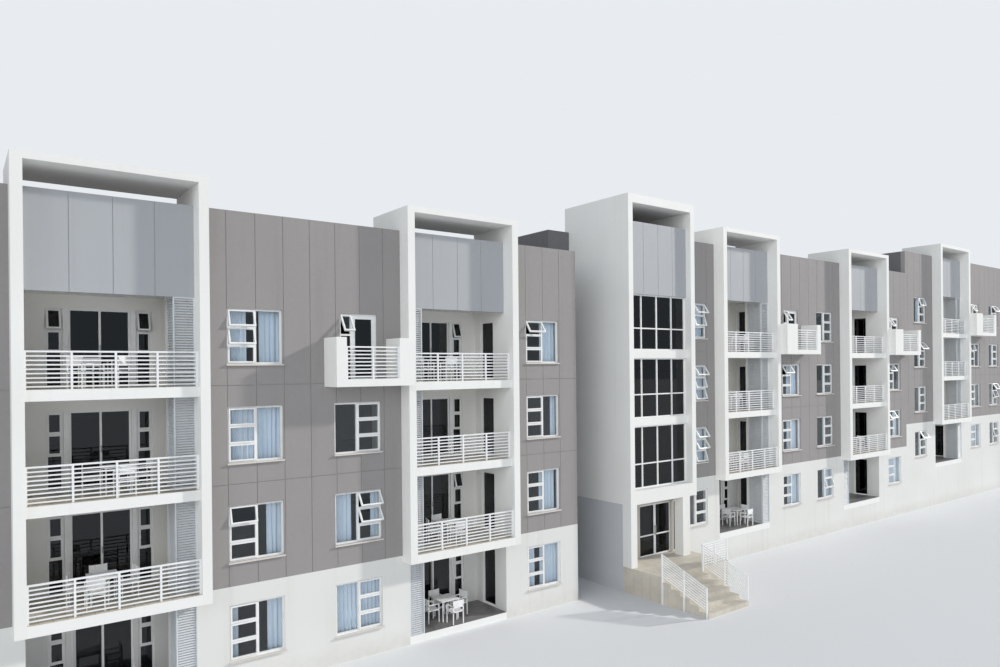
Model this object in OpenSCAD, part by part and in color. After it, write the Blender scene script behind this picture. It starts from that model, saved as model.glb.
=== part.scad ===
// Four-storey apartment block in three terraces that step up to the right.
// The model is half the real size, and every length below is a length of the model in millimetres.
// X runs along the street front to the right, Y goes into the building, and Z is up.

/* [Storeys] */
// Height from one floor to the next
storey_h = 1400; // [1200:10:1700]
// Height of the lower terrace's ground floor above the ground
base_h = 125; // [60:5:400]
// Rise from the lower terrace to the middle one
middle_rise = 540; // [300:10:700]
// Rise from the middle terrace to the upper one
upper_rise = 675; // [300:10:900]
// Thickness of the floors, roofs and balcony slabs
slab_t = 140; // [80:5:200]
// Height of the white ground-storey wall above the ground floor
plinth_h = 1360; // [1200:10:1390]
// Height of the parapet above the roof
parapet_h = 1075; // [300:5:1400]

/* [Walls] */
// Thickness of the outer walls
wall_t = 125; // [80:5:180]
// Depth of the building from the front wall to the back wall
depth = 5200; // [4200:50:7000]

// Width of the painted boards
board_w = 410; // [300:10:600]
// Width of the joint between two boards
joint_w = 9; // [6:1:14]
// Depth of the joint
joint_d = 6; // [3:1:12]

/* [Bay widths] */
// Width of the short wall at the left end
wall_1_w = 600; // [300:25:1200]
// Width of a balcony frame
frame_w = 2250; // [2100:10:2600]
// Width of the wall between the first two balcony frames
wall_2_w = 3075; // [2900:25:3600]
// Width of the wall to the left of the gap
wall_3_w = 1625; // [1350:25:2000]
// Width of the gap beside the stair tower
gap_w = 1075; // [800:25:1500]
// Width of the stair tower
tower_w = 2050; // [2000:10:2400]
// Width of the wall to the right of the stair tower
wall_4_w = 1200; // [1050:25:1600]
// Width of the wall between the third and fourth frames
wall_5_w = 3275; // [3150:25:3800]
// Width of the wall from the fourth frame to the upper step
wall_6_w = 1600; // [1450:25:2000]
// Width of the wall from the upper step to the fifth frame
wall_7_w = 1850; // [1600:25:2200]
// Width of the wall at the right end
wall_8_w = 3500; // [3300:25:4000]

/* [Balcony frames] */
// Thickness of the two side fins
fin_t = 130; // [80:5:160]
// Thickness of the top of a frame
frame_top_t = 95; // [60:5:150]
// How far a frame stands out from the wall
frame_reach = 270; // [150:10:400]
// Depth of the balconies behind the wall face
recess_d = 920; // [700:10:1200]
// Height of a frame above the parapet
frame_rise = 365; // [200:5:600]
// Thickness of the pale panel below the frame top
panel_t = 75; // [40:5:110]
// How far the pale panel hangs below the roof
panel_drop = 185; // [145:5:260]
// How far the upper balcony slabs stay behind the face of their frame
slab_setback = 80; // [5:5:120]

/* [Railings] */
// How far a balcony railing stays behind the front of its slab
rail_setback = 55; // [10:5:80]
// How far the railing of a box balcony stays behind the face of its front
box_rail_setback = 20; // [5:5:40]
// Height of a balcony railing above its slab
rail_h = 475; // [400:5:600]
// Width of the railing posts
post_w = 25; // [18:1:40]
// Height of the top rail
top_rail_h = 22; // [14:1:40]
// Height of one railing bar
bar_h = 18; // [8:1:26]
// Thickness of the bars from front to back
bar_t = 12; // [6:1:18]
// Number of bars under the top rail
bar_count = 8; // [5:1:10]

/* [Louvre screens] */
// Width of a louvre screen
louvre_w = 275; // [200:5:400]
// Depth of the louvred side
louvre_d = 400; // [250:10:600]
// Thickness of a louvre screen
louvre_t = 30; // [16:1:50]
// Width of the screen's posts and rails
louvre_edge = 25; // [15:1:50]
// Height from one blade to the next
louvre_pitch = 48; // [36:1:80]
// Height of the gap between two blades
louvre_gap = 22; // [12:1:30]
// Thickness of the wall that closes a louvred corner at the back
duct_t = 60; // [40:5:100]

/* [Windows] */
// Width of a window
win_w = 800; // [700:5:860]
// Height of a window
win_h = 795; // [650:5:850]
// Height of the window sill above the floor
sill_h = 300; // [200:5:400]
// Width of the window and door bars
sash_w = 28; // [18:1:36]
// Depth of the window and door frames
sash_t = 40; // [24:1:50]
// How far the window frames lie behind the wall face
reveal = 30; // [10:1:40]
// Thickness of the glass
glass_t = 6; // [4:1:12]
// Width of the side of a window that has three small panes
vent_w = 395; // [300:5:440]
// Distance of each window column from the left end of its wall
window_x = [300, 1905, 375, 100, 480, 2075, 445, 565, 665, 2250];
// Distance of each box balcony door from the left end of its wall
box_door_offset = [2010, 560, 525, 745];
// How far a sill stands out
sill_reach = 35; // [15:1:60]
// How far a sill runs past each side of its window
sill_side = 10; // [0:1:40]
// Thickness of a sill
sill_t = 20; // [15:1:60]

/* [Balcony doors] */
// Height of the balcony doors
door_h = 1080; // [980:5:1150]
// Width of a pair of sliding doors
door_w = 770; // [720:5:800]
// How far the doors stand off the middle of their frame, away from the louvres
door_shift = 25; // [0:5:60]
// Width of the small window on each side of the doors
side_w = 210; // [160:5:240]
// Distance between the doors and a small window
side_gap = 65; // [50:5:90]
// Heights of the bars of a small window, as shares of its height
side_rows = [0, 0.45, 0.725, 1];
// Distance of the narrow window in a balcony's side wall from the wall face
slot_start = 340; // [280:5:400]
// Width of that window
slot_w = 405; // [200:5:450]
// Width of wall left on each side of the narrow window behind the louvres
slot_margin = 40; // [20:5:80]

/* [Box balconies] */
// How far a box balcony stands out from the wall
box_reach = 450; // [300:10:600]
// Widths of the four box balconies
box_widths = [1325, 1510, 1590, 1650];
// Thickness of the free end of a box balcony
box_end_t = 165; // [80:5:220]
// Thickness of the end beside the frame
box_near_t = 265; // [120:5:300]
// Width of the closed part of each box balcony's front beside the frame
box_closed_w = [265, 455, 470, 500];
// Thickness of the front
box_front_t = 70; // [50:5:100]
// Height of the ends above the floor
box_end_h = 695; // [500:5:900]
// Depth of the front beam below the floor
box_beam_drop = 50; // [0:5:120]
// Height of the front beam above the floor
box_beam_h = 65; // [30:5:120]
// Height of its railing above the floor
box_rail_h = 560; // [400:5:650]
// Width of the door to a box balcony, with its side panes
box_door_w = 635; // [500:5:700]
// Width of its column of small panes
box_side_w = 190; // [150:5:240]
// Heights of the bars between the small panes, as shares of the door's height
box_rows = [0, 0.35, 0.7, 1];
// Width of the stiles and rails of the door leaf
stile_w = 50; // [30:5:70]

/* [Stair tower] */
// How far the tower stands out from the wall
tower_reach = 402; // [300:2:600]
// Height of the underside of the glazed box
tower_soffit = 1095; // [1080:5:1250]
// Height of the beam under the glazing
tower_beam_h = 275; // [150:5:300]
// Thickness of the tower roof
tower_top_t = 175; // [100:5:250]
// Height of the bands between the glazed storeys
band_h = 165; // [120:5:240]
// Height of the top of a band above the floor
band_rise = 15; // [0:5:60]
// How far the bands stay behind the face of the tower
band_setback = 130; // [20:5:170]
// How far the glazing stays behind the face of the tower
glazing_setback = 185; // [180:5:260]
// Width of the glazing bars
tower_bar_w = 26; // [20:1:50]
// Depth of the glazing bars
tower_bar_t = 24; // [20:1:50]
// Places of the upright bars, as shares of the width
tower_columns = [0, 0.235, 0.5, 0.765, 1];
// Place of the level bar, as a share of the height
tower_row = 0.39; // [0.2:0.01:0.6]
// How far the top of the glazing lies below the roof
tower_panel_drop = 240; // [160:5:400]
// Height of the pale panel at the tower's head
tower_panel_h = 1475; // [900:5:1600]
// Height of the open gap over the pale panel
tower_gap_h = 340; // [100:5:500]
// Depth of the gap beside the tower
gap_d = 1350; // [1000:50:1800]
// Width of the lower terrace's wall at the back of the gap
gap_low_w = 475; // [300:25:600]
// Extra height of the tall wall at the back of the gap
gap_wall_extra = 145; // [0:5:400]

/* [Entrance] */
// Width and depth of the columns under the tower's front
column_w = 230; // [150:5:260]
// Width of the pier at the left corner
pier_w = 175; // [130:5:230]
// Distance from the tower's left side to the right column
column_x = 1590; // [1500:5:1700]
// Thickness of the wall round the doorway
entry_wall_t = 100; // [90:5:120]
// Distance from the tower's left side to the doorway
entry_x = 695; // [500:5:720]
// Width of the doorway
entry_w = 1000; // [800:5:1020]
// Height of the doorway above the landing
entry_h = 1110; // [1050:5:1150]
// Distance between the doorway and the pane beside it
entry_side_gap = 55; // [40:5:70]
// Width of the pane beside the doorway
entry_side_w = 205; // [100:5:215]
// Thickness of a door leaf
leaf_t = 24; // [20:1:34]
// Running gap around a door leaf
leaf_gap = 6; // [5:0.5:8]
// Radius of the pivots that carry a leaf
pivot_r = 8; // [5:1:9]
// Clearance under and over the pivots and runners
seat_gap = 0.3; // [0.2:0.1:0.5]
// Height of one step
riser = 85; // [70:1:95]
// Number of risers up to the landing
riser_count = 6; // [5:1:6]
// Depth of one step
going = 216; // [140:2:240]
// Width of the steps
steps_w = 1200; // [800:10:1400]
// Depth of the landing in front of the wall
landing_d = 1185; // [900:5:1400]
// Height of the handrails
handrail_h = 450; // [400:5:520]

/* [Back wall] */
// Number of window columns in the back wall of each terrace
back_columns = [4, 5, 3];

/* [Hidden] */

storeys = 4;
// how far two blocks of one solid run into each other
lap = 1;
total_w = wall_1_w + wall_2_w + wall_3_w + gap_w + tower_w + wall_4_w + wall_5_w + wall_6_w
    + wall_7_w + wall_8_w + 5 * frame_w;

// left edges of the bays, with the middle of the block at zero
x_wall_1 = -total_w / 2;
x_frame_1 = x_wall_1 + wall_1_w;
x_wall_2 = x_frame_1 + frame_w;
x_frame_2 = x_wall_2 + wall_2_w;
x_wall_3 = x_frame_2 + frame_w;
x_gap = x_wall_3 + wall_3_w;
x_tower = x_gap + gap_w;
x_wall_4 = x_tower + tower_w;
x_frame_3 = x_wall_4 + wall_4_w;
x_wall_5 = x_frame_3 + frame_w;
x_frame_4 = x_wall_5 + wall_5_w;
x_wall_6 = x_frame_4 + frame_w;
x_step = x_wall_6 + wall_6_w;
x_frame_5 = x_step + wall_7_w;
x_wall_8 = x_frame_5 + frame_w;
x_end = x_wall_8 + wall_8_w;
x_link = x_gap + gap_low_w;

// the wall face, placed so that the whole block is centred from front to back
front_reach = landing_d + (riser_count - 1) * going;
wall_y = (front_reach - depth - sill_reach) / 2;
inner_y = wall_y + wall_t;
recess_y = wall_y + recess_d;
rear_y = recess_y + wall_t;
back_y = wall_y + depth;
back_inner_y = back_y - wall_t;
gap_y = wall_y + gap_d;
gap_inner_y = gap_y + wall_t;
tower_y = wall_y - tower_reach;

// floor levels of the three terraces
low = base_h;
mid = low + middle_rise;
high = mid + upper_rise;
roof_z = storeys * storey_h;
tower_h = roof_z - tower_panel_drop + tower_panel_h + tower_gap_h + tower_top_t;
wall_top = roof_z + parapet_h;
frame_top = wall_top + frame_rise;
frame_foot = storey_h - slab_t;
landing_z = riser_count * riser;

// each frame: left edge, level, and the side that has the louvre screen
frames = [
    [x_frame_1, low, "right"],
    [x_frame_2, low, "left"],
    [x_frame_3, mid, "right"],
    [x_frame_4, mid, "left"],
    [x_frame_5, high, "right"]
];
box_left = [x_frame_2 - box_widths[0], x_wall_5, x_wall_6, x_wall_8];
box_level = [low, mid, mid, high];

// window columns of the front: left edge, level, side of the three small panes, storeys that have one
front_windows = [
    [x_wall_2 + window_x[0], low, "left", [0, 1, 2, 3]],
    [x_wall_2 + window_x[1], low, "right", [0, 1, 2]],
    [x_wall_3 + window_x[2], low, "left", [0, 1, 2, 3]],
    [x_wall_4 + window_x[3], mid, "right", [0, 1, 2, 3]],
    [x_wall_5 + window_x[4], mid, "left", [0, 1, 2]],
    [x_wall_5 + window_x[5], mid, "right", [0, 1, 2, 3]],
    [x_wall_6 + window_x[6], mid, "left", [0, 1, 2]],
    [x_step + window_x[7], high, "right", [0, 1, 2, 3]],
    [x_wall_8 + window_x[8], high, "left", [0, 1, 2]],
    [x_wall_8 + window_x[9], high, "right", [0, 1, 2, 3]]
];
box_door_x = [for (i = [0 : 3]) [x_wall_2, x_wall_5, x_wall_6, x_wall_8][i] + box_door_offset[i]];
terraces = [
    [x_wall_1, x_link, low],
    [x_link, x_step, mid],
    [x_step, x_end, high]
];
function back_window_x(t, i) =
    let (a = terraces[t][0], b = terraces[t][1], pitch = (b - a) / back_columns[t])
    a + pitch * (i + 0.5) - win_w / 2;

// a box given by its low corner and its high corner
module block(a, b) {
    translate(a) cube(b - a);
}

// an opening right through the front or back wall
module front_hole(x, z, w, h, y = wall_y) {
    block([x, y - 1, z], [x + w, y + wall_t + 1, z + h]);
}

// joints between the painted boards, in step with the first window of the wall
function joint_starts(first, width) = [for (d = [first % board_w : board_w : width - 60]) if (d > 60) d];
module front_joints(x0, x1, z0, z1, first) {
    for (d = joint_starts(first, x1 - x0))
        block([x0 + d - joint_w / 2, wall_y - 1, z0 - 1], [x0 + d + joint_w / 2, wall_y + joint_d, z1 + 1]);
}
// joints between the boards of two storeys, at their floor levels
module level_joints(x0, x1, level) {
    for (s = [2 : storeys - 1])
        block([x0 - 1, wall_y - 1, level + s * storey_h - joint_w / 2],
            [x1 + 1, wall_y + joint_d, level + s * storey_h + joint_w / 2]);
}

// upper part of a front wall, with the holes for its windows and box balcony door
module front_wall(x0, x1, level, first) {
    difference() {
        block([x0, wall_y, level + plinth_h], [x1, inner_y, level + wall_top]);
        for (c = front_windows) if (c[0] > x0 && c[0] < x1) for (s = c[3]) if (s > 0)
            front_hole(c[0], level + s * storey_h + sill_h, win_w, win_h);
        for (x = box_door_x) if (x > x0 && x < x1)
            front_hole(x, level + 3 * storey_h, box_door_w, door_h);
        front_joints(x0, x1, level + plinth_h, level + wall_top, first);
        level_joints(x0, x1, level);
    }
}
module front_wall_1() color("#9a9691") front_wall(x_wall_1, x_frame_1, low, wall_1_w / 3);
module front_wall_2() color("#9a9691") front_wall(x_wall_2, x_frame_2, low, window_x[0]);
module front_wall_3() color("#9a9691") front_wall(x_wall_3, x_gap, low, window_x[2]);
module front_wall_4() color("#9a9691") front_wall(x_wall_4, x_frame_3, mid, window_x[3]);
module front_wall_5() color("#9a9691") front_wall(x_wall_5, x_frame_4, mid, window_x[4]);
module front_wall_6() color("#9a9691") front_wall(x_wall_6, x_step, mid, window_x[6]);
module front_wall_7() color("#9a9691") front_wall(x_step, x_frame_5, high, window_x[7]);
module front_wall_8() color("#9a9691") front_wall(x_wall_8, x_end, high, window_x[8]);

// white walls of the ground storey
module plinth(x0, x1, level) {
    difference() {
        block([x0, wall_y, 0], [x1, inner_y, level + plinth_h]);
        for (c = front_windows) if (c[0] > x0 && c[0] < x1)
            front_hole(c[0], level + sill_h, win_w, win_h);
    }
}
module plinth_walls() color("#e8e8e4") {
    plinth(x_wall_1, x_frame_1, low);
    plinth(x_wall_2, x_frame_2, low);
    plinth(x_wall_3, x_gap, low);
    plinth(x_wall_4, x_frame_3, mid);
    plinth(x_wall_5, x_frame_4, mid);
    plinth(x_wall_6, x_step - seat_gap, mid);
    plinth(x_step, x_frame_5, high);
    plinth(x_wall_8, x_end, high);
    for (f = frames) if (f[1] > slab_t + seat_gap)
        block([f[0] + fin_t, wall_y, 0], [f[0] + frame_w - fin_t, inner_y, f[1] - slab_t]);
}

// back walls, above and below the top of the white ground storey
module back_wall(t, z0, z1, rows) {
    a = terraces[t][0];
    b = terraces[t][1] - (t < 2 ? seat_gap : 0);
    level = terraces[t][2];
    difference() {
        block([a, back_inner_y, z0], [b, back_y, z1]);
        for (i = [0 : back_columns[t] - 1]) for (s = rows)
            front_hole(back_window_x(t, i), level + s * storey_h + sill_h, win_w, win_h, back_inner_y);
        if (len(rows) > 1) for (d = joint_starts(back_window_x(t, 0) - a, b - a))
            block([a + d - joint_w / 2, back_y - joint_d, z0 - 1], [a + d + joint_w / 2, back_y + 1, z1 + 1]);
    }
}
module back_walls() color("#9a9691")
    for (t = [0 : 2]) back_wall(t, terraces[t][2] + plinth_h, terraces[t][2] + wall_top, [1, 2, 3]);
module back_plinths() color("#e8e8e4")
    for (t = [0 : 2]) back_wall(t, 0, terraces[t][2] + plinth_h, [0]);

// plain party walls at the two ends
module end_walls() color("#9a9691") {
    block([x_wall_1, inner_y, 0], [x_wall_1 + wall_t, back_inner_y, low + wall_top]);
    block([x_end - wall_t, inner_y, 0], [x_end, back_inner_y, high + wall_top]);
}

// cross walls where the block steps up
module step_walls() color("#9a9691") {
    block([x_link, gap_inner_y, 0], [x_link + wall_t, back_inner_y, mid + wall_top + gap_wall_extra]);
    block([x_step, inner_y, 0], [x_step + wall_t, back_inner_y, high + wall_top]);
}

// walls round the gap beside the stair tower
module gap_walls() color("#8a8781") {
    block([x_gap - wall_t, inner_y, 0], [x_gap, gap_y, low + wall_top]);
    block([x_gap - wall_t, gap_y + seat_gap, 0], [x_link - seat_gap, gap_inner_y, low + wall_top]);
    block([x_link, gap_y, 0], [x_tower, gap_inner_y, mid + wall_top + gap_wall_extra]);
}

// floors of the rooms behind the balconies, one slab a storey
module storey_slab(x0, x1, y0, y1, level, s) {
    z = level + s * storey_h;
    block([x0, y0, max(0, z - slab_t)], [x1, y1, z]);
}
module floors() color("#bdb9b2") for (s = [0 : storeys - 1]) {
    storey_slab(x_wall_1 + wall_t, x_link - seat_gap, gap_inner_y, back_inner_y, low, s);
    storey_slab(x_link + wall_t, x_step - seat_gap, gap_inner_y, back_inner_y, mid, s);
    storey_slab(x_step + wall_t, x_end - wall_t, gap_inner_y, back_inner_y, high, s);
}
module roofs() color("#8f8c88") {
    storey_slab(x_wall_1 + wall_t, x_link - seat_gap, gap_inner_y, back_inner_y, low, storeys);
    storey_slab(x_link + wall_t, x_step - seat_gap, gap_inner_y, back_inner_y, mid, storeys);
    storey_slab(x_step + wall_t, x_end - wall_t, gap_inner_y, back_inner_y, high, storeys);
}

// floors between the balcony frames, behind the front walls
module bay_slabs(s) {
    storey_slab(x_wall_1 + wall_t, x_frame_1, inner_y, gap_inner_y - seat_gap, low, s);
    storey_slab(x_wall_2, x_frame_2, inner_y, gap_inner_y - seat_gap, low, s);
    storey_slab(x_wall_3, x_gap - wall_t, inner_y, gap_inner_y - seat_gap, low, s);
    storey_slab(x_wall_4, x_frame_3, inner_y, gap_inner_y - seat_gap, mid, s);
    storey_slab(x_wall_5, x_frame_4, inner_y, gap_inner_y - seat_gap, mid, s);
    storey_slab(x_wall_6, x_step - seat_gap, inner_y, gap_inner_y - seat_gap, mid, s);
    storey_slab(x_step + wall_t, x_frame_5, inner_y, gap_inner_y - seat_gap, high, s);
    storey_slab(x_wall_8, x_end - wall_t, inner_y, gap_inner_y - seat_gap, high, s);
    for (f = frames)
        storey_slab(f[0] + seat_gap, f[0] + frame_w - seat_gap, rear_y, gap_inner_y - seat_gap, f[1], s);
}
module floor_bays() color("#bdb9b2") for (s = [0 : storeys - 1]) bay_slabs(s);
module roof_bays() color("#8f8c88") bay_slabs(storeys);

// the narrow windows of a frame, one in each fin: left edge of the fin, start and width of the window, and
// which way the fin's open side faces; the one on the louvres' side stands behind them
function fin_slots(f) = let (louvre_side = f[2] == "right" ? 1 : 0, far = louvre_d + duct_t + slot_margin)
    [for (k = [0, 1]) k == louvre_side
        ? [f[0] + k * (frame_w - fin_t), far, recess_d - slot_margin - far, k]
        : [f[0] + k * (frame_w - fin_t), slot_start, slot_w, k]];
module slot_hole(slot, z) {
    block([slot[0] - 1, wall_y + slot[1], z], [slot[0] + fin_t + 1, wall_y + slot[1] + slot[2], z + door_h]);
}
// the two fins of a balcony frame
module frame_fins(f) {
    difference() {
        for (x = [f[0], f[0] + frame_w - fin_t])
            block([x, wall_y - frame_reach, f[1] + frame_foot],
                [x + fin_t, recess_y, f[1] + frame_top - frame_top_t]);
        for (s = [1 : storeys - 1]) for (slot = fin_slots(f)) slot_hole(slot, f[1] + s * storey_h);
    }
}
module frame_fins_1() color("#eeeeea") frame_fins(frames[0]);
module frame_fins_2() color("#eeeeea") frame_fins(frames[1]);
module frame_fins_3() color("#eeeeea") frame_fins(frames[2]);
module frame_fins_4() color("#eeeeea") frame_fins(frames[3]);
module frame_fins_5() color("#eeeeea") frame_fins(frames[4]);
module frame_tops() color("#eeeeea") for (f = frames)
    block([f[0], wall_y - frame_reach, f[1] + frame_top - frame_top_t],
        [f[0] + frame_w, recess_y, f[1] + frame_top]);

// the lowest balcony slab ends flush with the frame, the others stay back
function slab_front(s) = wall_y - frame_reach + (s > 1 ? slab_setback : 0);

// slabs of the balconies, the patio under them and the roof over them
module balcony_slabs() color("#eeeeea") for (f = frames) {
    x0 = f[0] + fin_t;
    x1 = f[0] + frame_w - fin_t;
    storey_slab(x0, x1, wall_y, recess_y, f[1], 0);
    for (s = [1 : storeys - 1]) storey_slab(x0, x1, slab_front(s), recess_y, f[1], s);
    storey_slab(x0, x1, wall_y + panel_t, recess_y, f[1], storeys);
}

// holes for the doors and small windows at the back of a balcony
function door_mid(f) = f[0] + frame_w / 2 + (f[2] == "right" ? -1 : 1) * door_shift;
function side_x(f, side) = door_mid(f) + side * (door_w / 2 + side_gap + side_w / 2) - side_w / 2;
module door_holes(f, s, y) {
    z = f[1] + s * storey_h;
    front_hole(door_mid(f) - door_w / 2, z, door_w, door_h, y);
    for (side = [-1, 1])
        front_hole(side_x(f, side), z, side_w, door_h, y);
}
module balcony_walls() color("#a9a59e") for (f = frames) difference() {
    block([f[0], recess_y, f[1] + storey_h], [f[0] + frame_w, rear_y, f[1] + roof_z]);
    for (s = [1 : storeys - 1]) door_holes(f, s, recess_y);
}

// side walls of the patios, under the fins
module patio_side_walls() color("#e8e8e4") for (f = frames) difference() {
    for (x = [f[0], f[0] + frame_w - fin_t])
        block([x, wall_y, 0], [x + fin_t, recess_y, f[1] + frame_foot]);
    for (slot = fin_slots(f)) slot_hole(slot, f[1]);
}

// ground-storey walls at the back of the patios: a pier on each side of the doors
module patio_piers() color("#e8e8e4") for (f = frames) difference() {
    block([f[0], recess_y, 0], [f[0] + frame_w, rear_y, f[1] + storey_h]);
    block([door_mid(f) - door_w / 2, recess_y - 1, -1],
        [door_mid(f) + door_w / 2, rear_y + 1, f[1] + storey_h + 1]);
    door_holes(f, 0, recess_y);
}
// the wall over the patio doors and the sill wall under them
module patio_infills() color("#e8e8e4") for (f = frames) {
    x = door_mid(f) - door_w / 2;
    block([x, recess_y, f[1] + door_h], [x + door_w, rear_y, f[1] + storey_h]);
    block([x, recess_y, 0], [x + door_w, rear_y, f[1]]);
}

// pale panels that close the parapet inside each frame, and the tower's head, each of four boards
module pale_panel(x0, x1, y, z0, z1) {
    difference() {
        block([x0, y, z0], [x1, y + panel_t, z1]);
        for (i = [1 : 3]) translate([x0 + i * (x1 - x0) / 4 - joint_w / 2, y - 1, z0 - 1])
            cube([joint_w, joint_d + 1, z1 - z0 + 2]);
    }
}
module parapet_panels() color("#b9bcc0") {
    for (f = frames)
        pale_panel(f[0] + fin_t, f[0] + frame_w - fin_t, wall_y, f[1] + roof_z - panel_drop, f[1] + wall_top);
    pale_panel(x_tower + fin_t, x_wall_4 - fin_t, tower_y + band_setback, tower_panel_foot,
        tower_panel_foot + tower_panel_h);
}

// what stays closed at the left and at the right of a box balcony: the first has its frame on the right
function box_ends(i, near) = i == 0 ? [box_end_t, near] : [near, box_end_t];

// a flat railing: posts, a top rail and level bars, all in one piece
module railing(x0, x1, y, z, h, posts) {
    block([x0, y, z + h - top_rail_h], [x1, y + post_w, z + h]);
    step = (x1 - x0 - post_w) / (posts - 1);
    for (i = [0 : posts - 1])
        block([x0 + i * step, y, z], [x0 + i * step + post_w, y + post_w, z + h]);
    pitch = (h - top_rail_h) / (bar_count + 0.5);
    for (i = [1 : bar_count])
        block([x0, y + (post_w - bar_t) / 2, z + h - top_rail_h - i * pitch],
            [x1, y + (post_w + bar_t) / 2, z + h - top_rail_h - i * pitch + bar_h]);
}
module balcony_railings() color("#f4f4f2") {
    for (f = frames) for (s = [1 : storeys - 1])
        railing(f[0] + fin_t, f[0] + frame_w - fin_t, slab_front(s) + rail_setback,
            f[1] + s * storey_h, rail_h, 5);
    for (i = [0 : 3]) {
        closed = box_ends(i, box_closed_w[i]);
        railing(box_left[i] + closed[0], box_left[i] + box_widths[i] - closed[1],
            wall_y - box_reach + box_rail_setback, box_level[i] + 3 * storey_h + box_beam_h,
            box_rail_h - box_beam_h, 3);
    }
}

// one louvred sheet between two heights, standing along X
module louvre_sheet(w, h) {
    difference() {
        cube([w, louvre_t, h]);
        for (z = [louvre_edge : louvre_pitch : h - louvre_edge - louvre_gap])
            translate([louvre_edge, -1, z]) cube([w - 2 * louvre_edge, louvre_t + 2, louvre_gap]);
    }
}
function louvre_x(f) = f[2] == "right" ? f[0] + frame_w - fin_t - louvre_w : f[0] + fin_t;
module louvre_screens() color("#aeb6be") for (f = frames) for (s = [0 : storeys - 1]) {
    h = storey_h - slab_t - (s == storeys - 1 ? panel_drop - slab_t : 0);
    x = louvre_x(f);
    translate([x, wall_y, f[1] + s * storey_h]) louvre_sheet(louvre_w, h);
    side_x = f[2] == "right" ? x : x + louvre_w - louvre_t;
    translate([side_x + louvre_t, wall_y + louvre_t + seat_gap, f[1] + s * storey_h])
        rotate([0, 0, 90]) louvre_sheet(louvre_d - louvre_t - seat_gap, h);
}

// wall that closes each louvred corner at the back
module duct_walls() color("#a9a59e") for (f = frames) for (s = [0 : storeys - 1])
    block([louvre_x(f), wall_y + louvre_d, f[1] + s * storey_h],
        [louvre_x(f) + louvre_w, wall_y + louvre_d + duct_t, f[1] + (s + 1) * storey_h - slab_t]);

// box balconies of the top floor: a floor, two ends and a front beam
module box_balconies() color("#eeeeea") for (i = [0 : 3]) {
    x0 = box_left[i];
    x1 = x0 + box_widths[i];
    z = box_level[i] + 3 * storey_h;
    ends = box_ends(i, box_near_t);
    closed = box_ends(i, box_closed_w[i]);
    difference() {
        block([x0, wall_y - box_reach, z - box_beam_drop], [x1, wall_y, z + box_end_h]);
        block([x0 + closed[0], wall_y - box_reach - 1, z + box_beam_h],
            [x1 - closed[1], wall_y - box_reach + box_front_t + 1, z + box_end_h + 1]);
        block([x0 + ends[0], wall_y - box_reach + box_front_t, z],
            [x1 - ends[1], wall_y + 1, z + box_end_h + 1]);
    }
}

// window frame with one wide pane and three small ones
module window_frame(side) {
    vent_x = side == "left" ? sash_w : win_w - vent_w;
    wide_x = side == "left" ? vent_w + sash_w : sash_w;
    pane_h = (win_h - 4 * sash_w) / 3;
    difference() {
        cube([win_w, sash_t, win_h]);
        translate([wide_x, -1, sash_w])
            cube([win_w - vent_w - 2 * sash_w, sash_t + 2, win_h - 2 * sash_w]);
        for (i = [0 : 2])
            translate([vent_x, -1, sash_w + i * (pane_h + sash_w)])
                cube([vent_w - sash_w, sash_t + 2, pane_h]);
    }
}
// places what follows at every window: first the front, then the back turned round
module at_windows() {
    for (c = front_windows) for (s = c[3])
        translate([c[0], wall_y + reveal, c[1] + s * storey_h + sill_h]) {
            if (c[2] == "left") children(0);
            else children(1);
        }
    for (t = [0 : 2]) for (i = [0 : back_columns[t] - 1]) for (s = [0 : storeys - 1])
        translate([back_window_x(t, i) + win_w, back_y - reveal, terraces[t][2] + s * storey_h + sill_h])
            rotate([0, 0, 180]) children(0);
}
// frame of a box balcony's door: a column of small panes and a leaf with broad stiles
module box_door_frame() {
    edge = sash_w + stile_w;
    rise = door_h - sash_w;
    difference() {
        cube([box_door_w, sash_t, door_h]);
        for (r = [0 : len(box_rows) - 2]) translate([sash_w, -1, box_rows[r] * rise + sash_w])
            cube([box_side_w - sash_w, sash_t + 2, (box_rows[r + 1] - box_rows[r]) * rise - sash_w]);
        translate([box_side_w + edge, -1, edge])
            cube([box_door_w - box_side_w - 2 * edge, sash_t + 2, door_h - 2 * edge]);
    }
}
// glazing bars of one tower storey: four columns and two rows
module tower_grid(h) {
    w = tower_w - 2 * fin_t - tower_bar_w;
    rise = h - tower_bar_w;
    difference() {
        cube([w + tower_bar_w, tower_bar_t, h]);
        for (i = [0 : len(tower_columns) - 2]) for (r = [[0, tower_row], [tower_row, 1]])
            translate([tower_columns[i] * w + tower_bar_w, -1, r[0] * rise + tower_bar_w])
                cube([(tower_columns[i + 1] - tower_columns[i]) * w - tower_bar_w, tower_bar_t + 2,
                    (r[1] - r[0]) * rise - tower_bar_w]);
    }
}
band_top = [for (s = [1 : storeys - 1]) mid + s * storey_h + band_rise];
tower_panel_foot = mid + roof_z - tower_panel_drop;
glazing_y = tower_y + glazing_setback;
glazing_foot = [mid + tower_soffit + tower_beam_h, band_top[1], band_top[2]];
glazing_head = [band_top[1] - band_h, band_top[2] - band_h, tower_panel_foot];
module tower_bars() color("#f4f4f2") for (i = [0 : 2])
    translate([x_tower + fin_t, glazing_y, glazing_foot[i]]) tower_grid(glazing_head[i] - glazing_foot[i]);

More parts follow.
